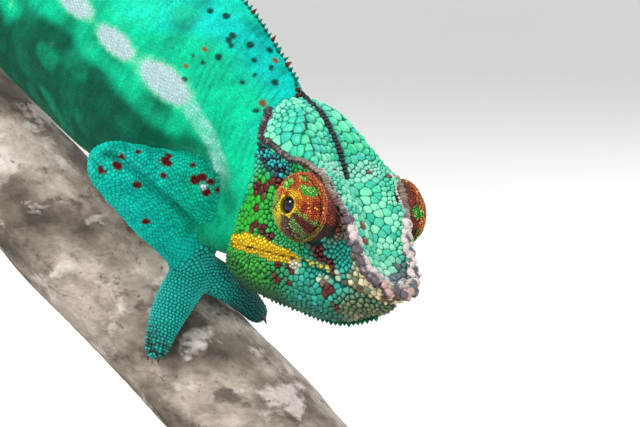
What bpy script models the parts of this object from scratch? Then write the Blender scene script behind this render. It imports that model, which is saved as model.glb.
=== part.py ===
"""A panther chameleon, Furcifer pardalis, an adult male walking down a cut branch on a display stand.

Sizes and places below are in millimetres, and add_object makes metres of them. The animal and the branch
are modelled in the walk frame: X runs down the branch from beside the right hand, Y is the animal's left
and Z stands square to the branch. One empty tilts that frame to the branch's slope. The head has a frame
of its own, with X to the snout and its origin between the eyes.
"""

import math

import bmesh
import bpy
import numpy as np
from mathutils import Euler, Matrix, Vector

METRES = 0.001
GAP = 0.3  # the thin cut that parts two neighbours

# The stand, the branch and how they hold the animal
SLOPE = math.radians(36.4)
BASE_SIZE = (290, 120, 14)
BASE_CORNER, BASE_RIM = 12, 1.6
BRANCH_RADIUS = 14.8
BRANCH_SPAN = (-218, 60)
BRANCH_KNOTS = ((-78, 200, 1.5, 9), (22, 60, 1.1, 8), (-170, 30, 1.2, 10))  # station, turn, height, width
WALK_ORIGIN = (61, 0, 83)
ROD_RADIUS = 3.5
ROD_STATIONS = {"stand_rod_front": 34, "stand_rod_rear": -132}
COLLAR_RADIUS, COLLAR_HEIGHT = 9, 5

# How the head is held in the walk frame
HEAD_PLACE = (13.45, -4.6, 55.2)
HEAD_TURN = tuple(math.radians(a) for a in (1.0, -4.6, -11.3))
EYE_PLACE = (1.6, 11.5, 2.6)
EYE_AXIS = (0.06, 0.985, 0.154)
EYE_TURRET = ((7.2, -2.6), (7.9, -0.6), (8.1, 1.2), (7.7, 3.2), (6.6, 5.1), (5, 6.5), (3.1, 7.5), (2, 7.9))
EYE_OPENING = ((1.45, 7.9), (1.35, 6.9), (0.5, 6.8))  # radius and height, as in the turret's outline
EYEBALL = ((0.7, 7.1), (1.0, 7.25), (1.0, 7.6), (0.75, 7.9), (0.3, 8.05))

SIDES = {"left": 1, "right": -1}

# Colour, roughness and metallic value of each finish
FINISHES = {
    "skin": ((0.02, 0.55, 0.33), 0.55, 0.0),
    "skin_head": ((0.05, 0.62, 0.40), 0.50, 0.0),
    "eye_skin": ((0.55, 0.12, 0.03), 0.50, 0.0),
    "eyeball": ((0.01, 0.01, 0.012), 0.08, 0.0),
    "claw": ((0.09, 0.07, 0.05), 0.35, 0.0),
    "bark": ((0.30, 0.25, 0.21), 0.85, 0.0),
    "base": ((0.10, 0.09, 0.085), 0.45, 0.0),
    "steel": ((0.62, 0.63, 0.65), 0.28, 1.0),
}

# Trunk: station along the branch, height of the back and of the belly over its axis, half width
TRUNK = (
    (-18, 70.0, 28.0, 11.5),
    (-30, 72.8, 22.0, 14.0),
    (-50, 75.0, 19.0, 16.2),
    (-75, 75.5, 18.0, 17.0),
    (-100, 72.5, 18.5, 16.0),
    (-122, 66.0, 21.5, 12.8),
    (-140, 57.5, 26.5, 9.4),
    (-152, 51.5, 30.5, 7.4),
)

# Upper head: station, height of the midline, then out and up to the roof's shoulder, the crest, the temple,
# the cheek and the lip
HEAD = (
    (-27.6, 14.3, 0.9, 14.1, 1.2, 13.5, 1.0, 12.8, 0.7, 12.2, 0.4, 11.9),
    (-26.3, 14.6, 3.2, 13.5, 5.6, 11.0, 5.0, 9.6, 3.6, 9.0, 2.0, 8.6),
    (-24.5, 14.6, 4.6, 14.3, 8.8, 9.4, 8.2, 7.2, 7.0, 5.0, 4.4, 3.6),
    (-21.5, 14.6, 5.2, 15.0, 10.9, 5.9, 10.4, 3.4, 9.8, -0.5, 6.8, -4.0),
    (-18.0, 14.6, 6.2, 15.2, 11.2, 6.4, 10.7, 3.2, 11.2, -6.0, 10.2, -12.5),
    (-14.4, 13.6, 8.2, 13.8, 11.0, 6.7, 10.4, 3.6, 12.2, -7.0, 12.2, -16.6),
    (-11.1, 12.3, 9.0, 13.1, 10.8, 7.0, 10.0, 4.0, 12.3, -6.4, 12.3, -15.6),
    (-8.2, 11.0, 9.5, 12.4, 10.7, 8.4, 9.8, 5.0, 12.0, -6.0, 12.1, -14.2),
    (-3.8, 7.9, 9.8, 11.2, 10.9, 10.0, 9.7, 6.4, 11.4, -5.4, 11.2, -12.2),
    (0.3, 7.0, 9.0, 10.7, 10.5, 10.0, 9.6, 6.8, 10.9, -5.0, 10.4, -10.6),
    (3.2, 6.2, 8.6, 9.7, 10.1, 9.1, 9.4, 6.3, 10.3, -4.6, 9.5, -9.4),
    (6.7, 4.9, 8.0, 8.0, 9.5, 7.5, 9.3, 4.8, 9.7, -4.2, 9.0, -8.3),
    (10.0, 3.4, 7.3, 6.1, 8.7, 5.6, 8.6, 3.2, 8.9, -3.6, 8.4, -7.3),
    (12.5, 2.0, 6.8, 3.9, 8.0, 3.4, 8.0, 1.6, 8.2, -3.2, 7.9, -6.8),
    (16.0, 0.2, 6.1, 1.4, 7.3, 1.0, 7.2, -0.4, 7.2, -3.2, 6.9, -6.4),
    (20.2, -1.1, 5.2, -0.3, 6.5, -0.6, 6.2, -1.9, 5.6, -3.8, 5.2, -6.1),
    (23.7, -1.7, 2.8, -1.3, 3.8, -1.5, 3.4, -2.5, 3.0, -4.1, 2.7, -5.9),
    (25.5, -1.6, 1.2, -1.5, 1.6, -1.7, 1.3, -2.4, 1.0, -3.3, 0.8, -4.2),
)

# Lower jaw: station, side of the jaw out and up, keel of the throat; its lip runs under the upper one
JAW = (
    (-16.5, 10.8, -21.2, -28.8),
    (-13.4, 11.6, -20.8, -28.7),
    (-8.2, 11.6, -18.8, -27.2),
    (-3.8, 11.2, -17.0, -25.5),
    (0.3, 10.7, -15.6, -24.0),
    (6.7, 9.6, -13.4, -21.6),
    (12.5, 8.4, -11.5, -18.9),
    (16.0, 7.3, -10.4, -16.5),
    (20.2, 5.5, -8.8, -12.7),
    (22.4, 3.6, -7.8, -10.3),
    (24.2, 1.2, -7.0, -7.9),
)

# Legs: joint centres in the walk frame. The hand or foot is given by its place round the branch: station
# and turn of the palm, then of the tips of its outer and inner bundles of toes. A turn of 0 is the branch's
# top, and it grows down the leg's own side.
LEGS = {
    "arm_right": dict(
        side=-1, root=(-17, -10.0, 38.6), bend=(-29, -26.5, 36.3), palm=(-11.5, 12),
        outer=(-2.4, 70), inner=(0.6, -25), toes=(2, 3), radii=(7.8, 7.0, 6.5, 6.2, 4.9),
    ),
    "arm_left": dict(
        side=1, root=(-19, 10.0, 39.0), bend=(-38, 25.5, 38.0), palm=(-49, 36),
        outer=(-40, 86), inner=(-38, -8), toes=(2, 3), radii=(7.8, 7.0, 6.5, 6.2, 4.9),
    ),
    "leg_right": dict(
        side=-1, root=(-139, -6.5, 40), bend=(-119, -29.0, 38.0), palm=(-143, 32),
        outer=(-136, 86), inner=(-129, -24), toes=(3, 2), radii=(8.4, 7.4, 6.8, 6.3, 4.7),
    ),
    "leg_left": dict(
        side=1, root=(-138, 6.5, 40), bend=(-110, 24.0, 42.0), palm=(-121, 30),
        outer=(-113, 84), inner=(-107, -24), toes=(3, 2), radii=(8.4, 7.4, 6.8, 6.3, 4.7),
    ),
}
PALM_RISE = 6.6  # from the bark to the middle of the palm
TOE_RISE = 3.1  # from the bark to the middle of a bundle of toes
TOE_SIZES = ((4.9, 4.6), (4.5, 3.6), (3.0, 2.7))  # half width and half thickness at root, middle and tip
CLAW_LENGTH, CLAW_RADII = 3.5, (1.1, 0.30)

# Tail: the way from the pelvis down the right of the branch, then a coil that winds in beside it
TAIL_WAY = ((-152, 0, 41), (-166, -1.5, 38.5), (-181, -7.5, 31), (-193, -16, 17), (-200.5, -23, 0))
COIL_CENTRE = (-176.0, -25.0, -13.0)
COIL_RADIUS, COIL_TURNS, COIL_SHRINK = 24.5, 2.1, 0.098
TAIL_ROOT, TAIL_TIP = (10.4, 7.4), 1.25
TAIL_CUTS = (0.0, 0.20, 0.45, 0.70, 1.0)
TAIL_NAMES = ("tail_root", "tail_upper", "tail_coil", "tail_tip")


# Tools -------------------------------------------------------------------------------------------


def smooth_table(table, at):
    """The rows of a table, read smoothly at other values of its first column (monotone cubic)."""
    table = np.array(table, float)
    table = table[np.argsort(table[:, 0])]
    x, y = table[:, 0], table[:, 1:]
    step = np.diff(x)[:, None]
    secant = np.diff(y, axis=0) / step
    slope = np.vstack([secant[:1], (secant[:-1] + secant[1:]) / 2, secant[-1:]])
    flat = np.vstack([np.zeros((1, y.shape[1])), secant[:-1] * secant[1:], np.zeros((1, y.shape[1]))]) < 0
    slope[flat] = 0
    at = np.atleast_1d(np.array(at, float))
    i = np.clip(np.searchsorted(x, at) - 1, 0, len(x) - 2)
    h = step[i]
    t = ((at - x[i]) / h[:, 0])[:, None]
    return (
        (2 * t**3 - 3 * t**2 + 1) * y[i]
        + (t**3 - 2 * t**2 + t) * h * slope[i]
        + (3 * t**2 - 2 * t**3) * y[i + 1]
        + (t**3 - t**2) * h * slope[i + 1]
    )


def smooth_way(points, count):
    """`count` points, evenly spaced along a smooth curve through the given ones."""
    points = np.array(points, float)
    chord = np.concatenate([[0], np.cumsum(np.linalg.norm(np.diff(points, axis=0), axis=1))])
    fine = smooth_table(np.column_stack([chord, points]), np.linspace(0, chord[-1], 400))
    run = np.concatenate([[0], np.cumsum(np.linalg.norm(np.diff(fine, axis=0), axis=1))])
    even = np.linspace(0, run[-1], count)
    return np.column_stack([np.interp(even, run, fine[:, k]) for k in range(3)])


def finish(name):
    """The material of that name, made on first use."""
    if name in bpy.data.materials:
        return bpy.data.materials[name]
    colour, roughness, metallic = FINISHES[name]
    material = bpy.data.materials.new(name)
    material.use_nodes = True
    shader = material.node_tree.nodes["Principled BSDF"]
    shader.inputs["Base Color"].default_value = (*colour, 1)
    shader.inputs["Roughness"].default_value = roughness
    shader.inputs["Metallic"].default_value = metallic
    return material


def add_object(name, bm, material, parent=None, cutter=False):
    """A bmesh in millimetres becomes an object in metres. A cutter is only a guide for Booleans."""
    bmesh.ops.scale(bm, vec=(METRES, METRES, METRES), verts=bm.verts)
    bmesh.ops.recalc_face_normals(bm, faces=bm.faces)
    mesh = bpy.data.meshes.new(name)
    bm.to_mesh(mesh)
    bm.free()
    mesh.shade_smooth()
    mesh.set_sharp_from_angle(angle=math.radians(50))
    obj = bpy.data.objects.new(name, mesh)
    bpy.context.scene.collection.objects.link(obj)
    obj.data.materials.append(finish(material))
    obj.parent = parent
    obj.hide_render = cutter
    if cutter:
        obj.display_type = "WIRE"
    return obj


def skin_rings(rings):
    """A closed bmesh skinned over rings of equally many points, with both ends capped."""
    bm = bmesh.new()
    loops = [[bm.verts.new(p) for p in ring] for ring in rings]
    for a, b in zip(loops, loops[1:]):
        for k in range(len(a)):
            n = (k + 1) % len(a)
            bm.faces.new((a[k], a[n], b[n], b[k]))
    bm.faces.new(reversed(loops[0]))
    bm.faces.new(loops[-1])
    bmesh.ops.recalc_face_normals(bm, faces=bm.faces)
    return bm


def boolean(obj, cutter, operation="DIFFERENCE"):
    modifier = obj.modifiers.new(cutter.name, "BOOLEAN")
    modifier.object = cutter
    modifier.operation = operation


def cut_away(bm, point, normal):
    """Removes what lies beyond a plane, on the side its normal points to, and closes the cut."""
    every = bm.verts[:] + bm.edges[:] + bm.faces[:]
    cut = bmesh.ops.bisect_plane(bm, geom=every, plane_co=point, plane_no=normal, clear_outer=True)
    edges = [e for e in cut["geom_cut"] if isinstance(e, bmesh.types.BMEdge)]
    bmesh.ops.contextual_create(bm, geom=edges)


def tube_rings(way, sizes, sides, up=(0, 0, 1)):
    """Rings round a way: sizes holds each ring's half width and half height, the height towards `up`."""
    way = np.array(way, float)
    ahead = np.gradient(way, axis=0)
    ahead /= np.linalg.norm(ahead, axis=1)[:, None]
    wide = np.cross(np.broadcast_to(np.array(up, float), ahead.shape), ahead)
    wide /= np.linalg.norm(wide, axis=1)[:, None]
    high = np.cross(ahead, wide)
    turn = np.linspace(0, 2 * math.pi, sides, endpoint=False)
    out = np.cos(turn)[None, :, None] * wide[:, None] * np.array([s[0] for s in sizes])[:, None, None]
    rise = np.sin(turn)[None, :, None] * high[:, None] * np.array([s[1] for s in sizes])[:, None, None]
    return way[:, None] + out + rise


def limb_rings(start, end, radii, sides=12, steps=4, flat=1.0, up=(0, 0, 1)):
    """A straight limb with round ends, from its radii at start, middle and end."""
    start, end = Vector(start), Vector(end)
    length = (end - start).length
    ahead = (end - start) / length
    quarter = np.linspace(0.2, math.pi / 2, 4)
    offsets, sizes = [], []
    for q in quarter[:-1]:
        offsets.append(-radii[0] * math.cos(q))
        sizes.append(radii[0] * math.sin(q))
    for t in np.linspace(0, 1, steps):
        offsets.append(t * length)
        sizes.append(float(smooth_table(((0, radii[0]), (0.5, radii[1]), (1, radii[2])), t)[0, 0]))
    for q in quarter[-2::-1]:
        offsets.append(length + radii[2] * math.cos(q))
        sizes.append(radii[2] * math.sin(q))
    way = [start + ahead * d for d in offsets]
    return tube_rings(way, [(s * flat, s) for s in sizes], sides, up)


# The body ----------------------------------------------------------------------------------------


def trunk_ring(station, sides, grow=0.0):
    """One upright section of the trunk: widest below the middle, drawn to a keel along the back."""
    top, bottom, half = smooth_table(TRUNK, station)[0]
    top, bottom, half = top + grow, bottom - grow, half + grow
    middle = bottom + 0.44 * (top - bottom)
    ring = []
    for turn in np.linspace(0, 2 * math.pi, sides, endpoint=False):
        rise = math.sin(turn)
        pinch = 0.48 * rise**4 if rise > 0 else 0.16 * rise**4
        height = (top - middle if rise > 0 else middle - bottom) * rise
        ring.append((station, half * math.cos(turn) * (1 - pinch), middle + height))
    return ring


def trunk(parent, grow=0.0):
    stations = np.linspace(TRUNK[0][0] + grow, TRUNK[-1][0] - grow, 19)
    bm = skin_rings([trunk_ring(s, 20, grow) for s in stations])
    return add_object("trunk_cutter" if grow else "trunk", bm, "skin", parent, cutter=bool(grow))


def neck(parent, head_frame, grow=0.0):
    """From the trunk's first section to the back of the skull, turning with the head."""
    rear = [Vector(p) for p in trunk_ring(TRUNK[0][0], 20)]
    for p in rear:
        p.x += GAP - grow
    front = []
    for turn in np.linspace(0, 2 * math.pi, 20, endpoint=False):
        rise = math.sin(turn)
        reach = 13.0 if rise > 0 else 14.2
        front.append(head_frame @ Vector((-12.2, 10.4 * math.cos(turn), -10.6 + reach * rise)))
    rings = []
    for t in np.linspace(0, 1, 6):
        bulge = 1 + 0.05 * math.sin(math.pi * t)
        ring = [a.lerp(b, t) for a, b in zip(rear, front)]
        centre = sum(ring, Vector()) / len(ring)
        rings.append([centre + (p - centre) * bulge + (p - centre).normalized() * grow for p in ring])
    name = "neck_cutter" if grow else "neck"
    return add_object(name, skin_rings(rings), "skin", parent, cutter=bool(grow))


def tail_way():
    """Points down the tail, and how far along it each one is, from 0 to 1."""
    sweep = np.linspace(0, 2 * math.pi * COIL_TURNS, 240)
    radius = COIL_RADIUS * np.exp(-COIL_SHRINK * sweep)
    coil = np.column_stack([
        COIL_CENTRE[0] - radius * np.cos(sweep),
        np.full_like(sweep, COIL_CENTRE[1]),
        COIL_CENTRE[2] - radius * np.sin(sweep),
    ])
    way = np.vstack([smooth_way(TAIL_WAY + (tuple(coil[0]),), 120)[:-1], coil])
    run = np.concatenate([[0], np.cumsum(np.linalg.norm(np.diff(way, axis=0), axis=1))])
    return way, run / run[-1]


def tail(parent, trunk_cutter):
    """Four lengths of one tapering tube, parted by thin cuts."""
    way, along = tail_way()
    counts, sides = (7, 13, 15, 16), (12, 12, 10, 8)
    for name, start, end, count, around in zip(TAIL_NAMES, TAIL_CUTS, TAIL_CUTS[1:], counts, sides):
        near = start + 0.0012
        t = np.linspace(near, end, count)
        points = np.column_stack([np.interp(t, along, way[:, k]) for k in range(3)])
        thick = TAIL_TIP + (TAIL_ROOT[1] - TAIL_TIP) * (1 - t) ** 1.25
        tall = thick * (1 + (TAIL_ROOT[0] / TAIL_ROOT[1] - 1) * np.clip(1 - t / 0.3, 0, 1))
        rings = tube_rings_along(points, way, along, t, np.column_stack([thick, tall]), around)
        if end == 1.0:
            tip = rings[-1].mean(axis=0)
            cap = tip + (rings[-1] - tip) * 0.45 + (points[-1] - points[-2]) * 0.12
            rings = np.concatenate([rings, [cap]])
        made = add_object(name, skin_rings(rings), "skin", parent)
        if start == 0:
            boolean(made, trunk_cutter)


def tube_rings_along(points, way, along, t, sizes, sides):
    """Rings for a stretch of the tail, whose height turns into the coil's plane."""
    ahead = np.column_stack([np.interp(t, along, np.gradient(way[:, k], along)) for k in range(3)])
    ahead /= np.linalg.norm(ahead, axis=1)[:, None]
    wide = np.cross(np.array([0.0, -1.0, 0.0]), ahead)
    wide = np.cross(ahead, wide)
    wide /= np.linalg.norm(wide, axis=1)[:, None]
    high = np.cross(ahead, wide)
    turn = np.linspace(0, 2 * math.pi, sides, endpoint=False)
    out = np.cos(turn)[None, :, None] * wide[:, None] * sizes[:, 0][:, None, None]
    rise = np.sin(turn)[None, :, None] * high[:, None] * sizes[:, 1][:, None, None]
    return points[:, None] + out + rise


# The head ----------------------------------------------------------------------------------------


def mirror_ring(station, half):
    """A whole section from its right half, given as points out and up, first and last on the middle."""
    left = [(station, y, z) for y, z in half]
    right = [(station, -y, z) for y, z in half[-2:0:-1]]
    return left + right


def head_stations():
    rows = [row[0] for row in HEAD]
    return sorted(rows + [(a + b) / 2 for a, b in zip(rows, rows[1:]) if b < 0])


def upper_half(station, grow=0.0):
    """The right half of the upper head's section, from the midline over the crown and down to the lip."""
    ridge, *pairs = smooth_table(HEAD, station)[0]
    roof, crest, temple, cheek, lip = np.array(pairs).reshape(5, 2)
    out = np.array((grow, 0.0))
    return [
        (0, ridge + grow),
        (0.5 * roof[0], 0.35 * ridge + 0.65 * roof[1] + grow),
        roof + (0, grow),
        (roof + crest) / 2 + (0.6 + grow, 0.5),
        crest + (grow, grow),
        crest + (grow - 0.2, -1.1),
        temple + out,
        (temple + cheek) / 2 + out,
        cheek + out,
        (cheek + lip) / 2 + out + (0.2, 0),
        lip + (grow, -grow),
        (0.5 * lip[0], lip[1] - grow),
        (0, lip[1] - grow),
    ]


def jaw_half(station, grow=0.0):
    """The right half of the jaw's section, from the midline of its top to the lip and down to the keel."""
    lip_y, lip_z = smooth_table(HEAD, station)[0, -2:]
    lip_z -= 1.2 * GAP
    side_y, side_z, keel = smooth_table(JAW, station)[0]
    return [
        (0, lip_z + grow),
        (0.5 * lip_y, lip_z + grow),
        (lip_y + grow, lip_z + grow),
        ((lip_y + side_y) / 2 + 0.15 + grow, (lip_z + side_z) / 2),
        (side_y + grow, side_z),
        (0.82 * side_y + grow, side_z + 0.42 * (keel - side_z)),
        (0.48 * side_y + grow, side_z + 0.78 * (keel - side_z)),
        (0.08 * side_y + grow, keel - grow),
        (0, keel - 0.1 - grow),
    ]


def head(parent):
    bm = skin_rings([mirror_ring(s, upper_half(s)) for s in head_stations()])
    return add_object("head", bm, "skin_head", parent)


def jaw(parent):
    stations = [s for s in head_stations() if JAW[0][0] < s < JAW[-1][0]]
    bm = skin_rings([mirror_ring(s, jaw_half(s)) for s in stations])
    return add_object("jaw", bm, "skin_head", parent)


def skull_ring(station, grow, with_jaw, shift=0.0):
    """A section round the upper head, and round the jaw below it where there is one."""
    upper = upper_half(station, grow)
    lip_y, lip_z = upper[10]
    lower = [upper[9], upper[10]] + [(share * lip_y, lip_z) for share in (0.8, 0.5, 0.1, 0)]
    if with_jaw:
        lower = jaw_half(min(station, JAW[-1][0]), grow)[3:]
    return mirror_ring(station - shift, upper[:9] + lower)


def skull_cutter(parent):
    """Head and jaw as one slightly grown solid, which hollows the neck and the trunk to receive them."""
    grow = 1.6 * GAP
    stations = head_stations()
    jaw_start = min(s for s in stations if s > JAW[0][0])
    rings = [skull_ring(stations[0], grow, False, shift=grow)]
    rings += [skull_ring(s, grow, False) for s in stations[1:] if s < jaw_start]
    rings += [skull_ring(jaw_start, grow, False, 1.5 * grow), skull_ring(jaw_start, grow, True, grow)]
    rings += [skull_ring(s, grow, True) for s in stations if s > jaw_start]
    return add_object("skull_cutter", skin_rings(rings), "skin_head", parent, cutter=True)


def spin_profile(profile, steps):
    """A solid turned about +Z from points of radius and height, listed from its bottom to its top."""
    turn = np.linspace(0, 2 * math.pi, steps, endpoint=False)
    return skin_rings([[(r * math.cos(a), r * math.sin(a), z) for a in turn] for r, z in profile])


def eye(side, head_obj, parent):
    """A turret of scaly lid, a cone with a domed base, and the small opening where the eyeball shows."""
    name, sign = side
    axis = Vector((EYE_AXIS[0], sign * EYE_AXIS[1], EYE_AXIS[2])).normalized()
    place = Vector((EYE_PLACE[0], sign * EYE_PLACE[1], EYE_PLACE[2]))
    turn = Matrix.Translation(place) @ axis.to_track_quat("Z", "Y").to_matrix().to_4x4()
    for grow, cutter in ((0.0, False), (GAP, True)):
        rows = [(r + grow, z + grow * (1 if z > 0 else -1)) for r, z in EYE_TURRET]
        bm = spin_profile(rows if cutter else rows + list(EYE_OPENING), 16)
        bmesh.ops.transform(bm, matrix=turn, verts=bm.verts)
        label = f"eye_turret_{name}"
        made = add_object(label + "_cutter" if cutter else label, bm, "eye_skin", parent, cutter)
    boolean(head_obj, made)
    ball = spin_profile(EYEBALL, 9)
    bmesh.ops.transform(ball, matrix=turn, verts=ball.verts)
    add_object(f"eyeball_{name}", ball, "eyeball", parent)


# The legs ----------------------------------------------------------------------------------------


def round_branch(station, turn, side, rise):
    """A point over the bark: `turn` degrees from the top, down the given side, `rise` mm out."""
    reach = BRANCH_RADIUS + rise
    a = math.radians(turn)
    return Vector((station, side * reach * math.sin(a), reach * math.cos(a)))


def toe_bundle(leg, which, grow=0.0):
    """Toes bound together in one mitten, arching from the palm round the bark."""
    spec = LEGS[leg]
    (s0, a0), (s1, a1) = spec["palm"], spec[which]
    side = spec["side"]
    steps = np.linspace(0, 1, 7)
    rises = smooth_table(((0, PALM_RISE - 1.2), (0.35, TOE_RISE + 1.6), (1, TOE_RISE)), steps)[:, 0]
    way = [round_branch(s0 + (s1 - s0) * t, a0 + (a1 - a0) * t, side, r) for t, r in zip(steps, rises)]
    sizes = smooth_table(tuple((t, *wh) for t, wh in zip((0, 0.5, 1), TOE_SIZES)), steps) + grow
    away = (way[-1] - way[-2]).normalized()
    tip, full = way[-1], sizes[-1]
    for reach, share in ((0.6, 0.82), (1.0, 0.35)):
        way.append(tip + away * (reach * full[1]))
        sizes = np.vstack([sizes, full * share])
    return tube_rings(way, sizes, 10, up=Vector((0, way[0].y, way[0].z)))


def claws(leg, which, count, parent):
    """A curved claw at the end of each toe of a bundle, in a row across it."""
    spec = LEGS[leg]
    grown = skin_rings(toe_bundle(leg, which, GAP))
    cutter = add_object(f"{leg}_{which}_cutter", grown, "skin", parent, cutter=True)
    (s0, a0), (s1, a1) = spec["palm"], spec[which]
    side = spec["side"]
    tip = round_branch(s1, a1, side, TOE_RISE)
    before = round_branch(s1 - 0.1 * (s1 - s0), a1 - 0.1 * (a1 - a0), side, TOE_RISE)
    ahead = (tip - before).normalized()
    outward = Vector((0, tip.y, tip.z)).normalized()
    across = ahead.cross(outward).normalized()
    inward = (ahead.cross(across)).normalized()
    if inward.dot(outward) > 0:
        inward = -inward
    for k in range(count):
        shift = (k - (count - 1) / 2) * 2 * TOE_SIZES[2][0] / (count + 0.2)
        start = tip + across * shift + ahead * (0.3 * TOE_SIZES[2][1]) - inward * 0.4
        steps = np.linspace(0, 1, 4)
        curve = [start + ahead * (CLAW_LENGTH * t) + inward * (1.5 * t * t) for t in steps]
        sizes = [(CLAW_RADII[0] + (CLAW_RADII[1] - CLAW_RADII[0]) * t**1.2,) * 2 for t in steps]
        rings = tube_rings(curve, sizes, 5, outward)
        made = add_object(f"claw_{leg}_{which}_{k + 1}", skin_rings(rings), "claw", parent)
        boolean(made, cutter)


def leg(name, parent, body_cutters, branch_cutter):
    """Upper and lower limb, parted at the bend, and a hand or foot of two opposed bundles of toes."""
    spec = LEGS[name]
    upper_r, upper_mid, bend_r, lower_mid, wrist_r = spec["radii"]
    root, bend = Vector(spec["root"]), Vector(spec["bend"])
    palm = round_branch(*spec["palm"], spec["side"], PALM_RISE)
    down, out = (palm - bend).normalized(), (bend - root).normalized()
    wrist = palm - down * 5.0
    parting = (down + out).normalized()
    half_gap = GAP / 2

    upper = skin_rings(limb_rings(root, bend, (upper_r, upper_mid, bend_r), flat=0.92))
    cut_away(upper, bend - parting * half_gap, parting)
    upper_obj = add_object(f"{name}_upper", upper, "skin", parent)

    lower = skin_rings(limb_rings(bend, wrist, (bend_r, lower_mid, wrist_r), flat=0.95))
    cut_away(lower, bend + parting * half_gap, -parting)
    cut_away(lower, wrist - down * half_gap, down)
    lower_obj = add_object(f"{name}_lower", lower, "skin", parent)
    for obj in (upper_obj, lower_obj):
        for cutter in body_cutters:
            boolean(obj, cutter)

    paw = skin_rings(limb_rings(wrist - down * 3, palm + down * 0.6, (wrist_r, 5.4, 4.6), steps=4))
    cut_away(paw, wrist + down * half_gap, -down)
    word = "hand" if name.startswith("arm") else "foot"
    paw_obj = add_object(f"{word}_{name.split('_')[1]}", paw, "skin", parent)
    for which, count in zip(("outer", "inner"), spec["toes"]):
        toes = skin_rings(toe_bundle(name, which))
        toes_obj = add_object(f"{name}_{which}_toes", toes, "skin", parent, cutter=True)
        boolean(paw_obj, toes_obj, "UNION")
        claws(name, which, count, parent)
    for cutter in (branch_cutter, *body_cutters):
        boolean(paw_obj, cutter)


# The branch and the stand ------------------------------------------------------------------------


def branch(parent, grow=0.0):
    """A slightly uneven limb of wood with a few low knots, sawn square at both ends."""
    start, end = BRANCH_SPAN
    rings = []
    for station in np.linspace(start - grow, end + grow, 17):
        ring = []
        for turn in np.linspace(0, 360, 18, endpoint=False):
            a = math.radians(turn)
            radius = BRANCH_RADIUS + 0.28 * math.sin(0.05 * station + a)
            radius += 0.2 * math.cos(0.11 * station - 2 * a)
            for s, where, high, wide in BRANCH_KNOTS:
                round_way = radius * math.radians((turn - where + 180) % 360 - 180)
                radius += high * math.exp(-((station - s) ** 2 + round_way**2) / wide**2)
            radius += grow
            ring.append((station, radius * math.sin(a), radius * math.cos(a)))
        rings.append(ring)
    name = "branch_cutter" if grow else "branch"
    return add_object(name, skin_rings(rings), "bark", parent, cutter=bool(grow))


def stand_base():
    bm = bmesh.new()
    bmesh.ops.create_cube(bm, size=1.0)
    bmesh.ops.scale(bm, vec=BASE_SIZE, verts=bm.verts)
    bmesh.ops.translate(bm, vec=(0, 0, BASE_SIZE[2] / 2), verts=bm.verts)
    upright = [e for e in bm.edges if abs(e.verts[0].co.z - e.verts[1].co.z) > 1]
    bmesh.ops.bevel(bm, geom=upright, offset=BASE_CORNER, segments=5, affect="EDGES", profile=0.5)
    rim = [e for e in bm.edges if min(v.co.z for v in e.verts) > BASE_SIZE[2] - 0.01]
    bmesh.ops.bevel(bm, geom=rim, offset=BASE_RIM, segments=2, affect="EDGES", profile=0.5)
    add_object("stand_base", bm, "base")


def collar(name, x, floor):
    """A ring with a sloped shoulder that holds a rod's foot."""
    inner, outer, top = ROD_RADIUS + GAP, COLLAR_RADIUS, floor + COLLAR_HEIGHT
    profile = ((inner, floor), (outer, floor), (outer, top - 2), (outer - 2, top), (inner, top))
    turn = np.linspace(0, 2 * math.pi, 16, endpoint=False)
    bm = bmesh.new()
    loops = [[bm.verts.new((x + r * math.cos(a), r * math.sin(a), z)) for a in turn] for r, z in profile]
    for a, b in zip(loops, loops[1:] + loops[:1]):
        for k in range(len(a)):
            n = (k + 1) % len(a)
            bm.faces.new((a[k], a[n], b[n], b[k]))
    add_object(name, bm, "steel")


def rods(branch_cutter):
    """Two upright rods in collars. Each stops under the branch, and its end follows the bark."""
    floor = BASE_SIZE[2] + GAP
    for name, station in ROD_STATIONS.items():
        x = WALK_ORIGIN[0] + station * math.cos(SLOPE)
        height = WALK_ORIGIN[2] - station * math.sin(SLOPE)
        rod = spin_profile(((ROD_RADIUS, floor), (ROD_RADIUS, height)), 16)
        bmesh.ops.translate(rod, vec=(x, 0, 0), verts=rod.verts)
        boolean(add_object(name, rod, "steel"), branch_cutter)
        collar(name.replace("rod", "collar"), x, floor)


def main():
    for obj in list(bpy.data.objects):
        bpy.data.objects.remove(obj)

    walk = bpy.data.objects.new("walk_frame", None)
    bpy.context.scene.collection.objects.link(walk)
    walk.location = Vector(WALK_ORIGIN) * METRES
    walk.rotation_euler = (0, SLOPE, 0)

    head_frame = bpy.data.objects.new("head_frame", None)
    bpy.context.scene.collection.objects.link(head_frame)
    head_frame.parent = walk
    head_frame.location = Vector(HEAD_PLACE) * METRES
    head_frame.rotation_euler = HEAD_TURN
    head_in_walk = Matrix.Translation(HEAD_PLACE) @ Euler(HEAD_TURN).to_matrix().to_4x4()

    branch(walk)
    branch_cutter = branch(walk, GAP)
    skull = skull_cutter(head_frame)
    trunk_cutter = trunk(walk, GAP)

    head_obj = head(head_frame)
    jaw(head_frame)
    for side in SIDES.items():
        eye(side, head_obj, head_frame)
    trunk_obj = trunk(walk)
    neck_obj = neck(walk, head_in_walk)
    for obj in (trunk_obj, neck_obj):
        boolean(obj, skull)
    tail(walk, trunk_cutter)
    neck_cutter = neck(walk, head_in_walk, GAP)
    for name in LEGS:
        near = (trunk_cutter, neck_cutter) if name.startswith("arm") else (trunk_cutter,)
        leg(name, walk, near, branch_cutter)
    stand_base()
    rods(branch_cutter)


main()
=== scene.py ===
"""Looks of the panther chameleon on its cut branch and display stand.

One skin replaces the flesh of the CAD model. Solid scales lie over it, each grown from a seed on the
skin out to the halfway lines to its neighbours. Lengths are millimetres until a mesh is made, and MM
turns them into metres. Places on the head use the head frame, X to the snout and its origin between
the eyes. Places on the body use the walk frame, X down the branch and Z square to it.
"""

import math
from itertools import product

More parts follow.
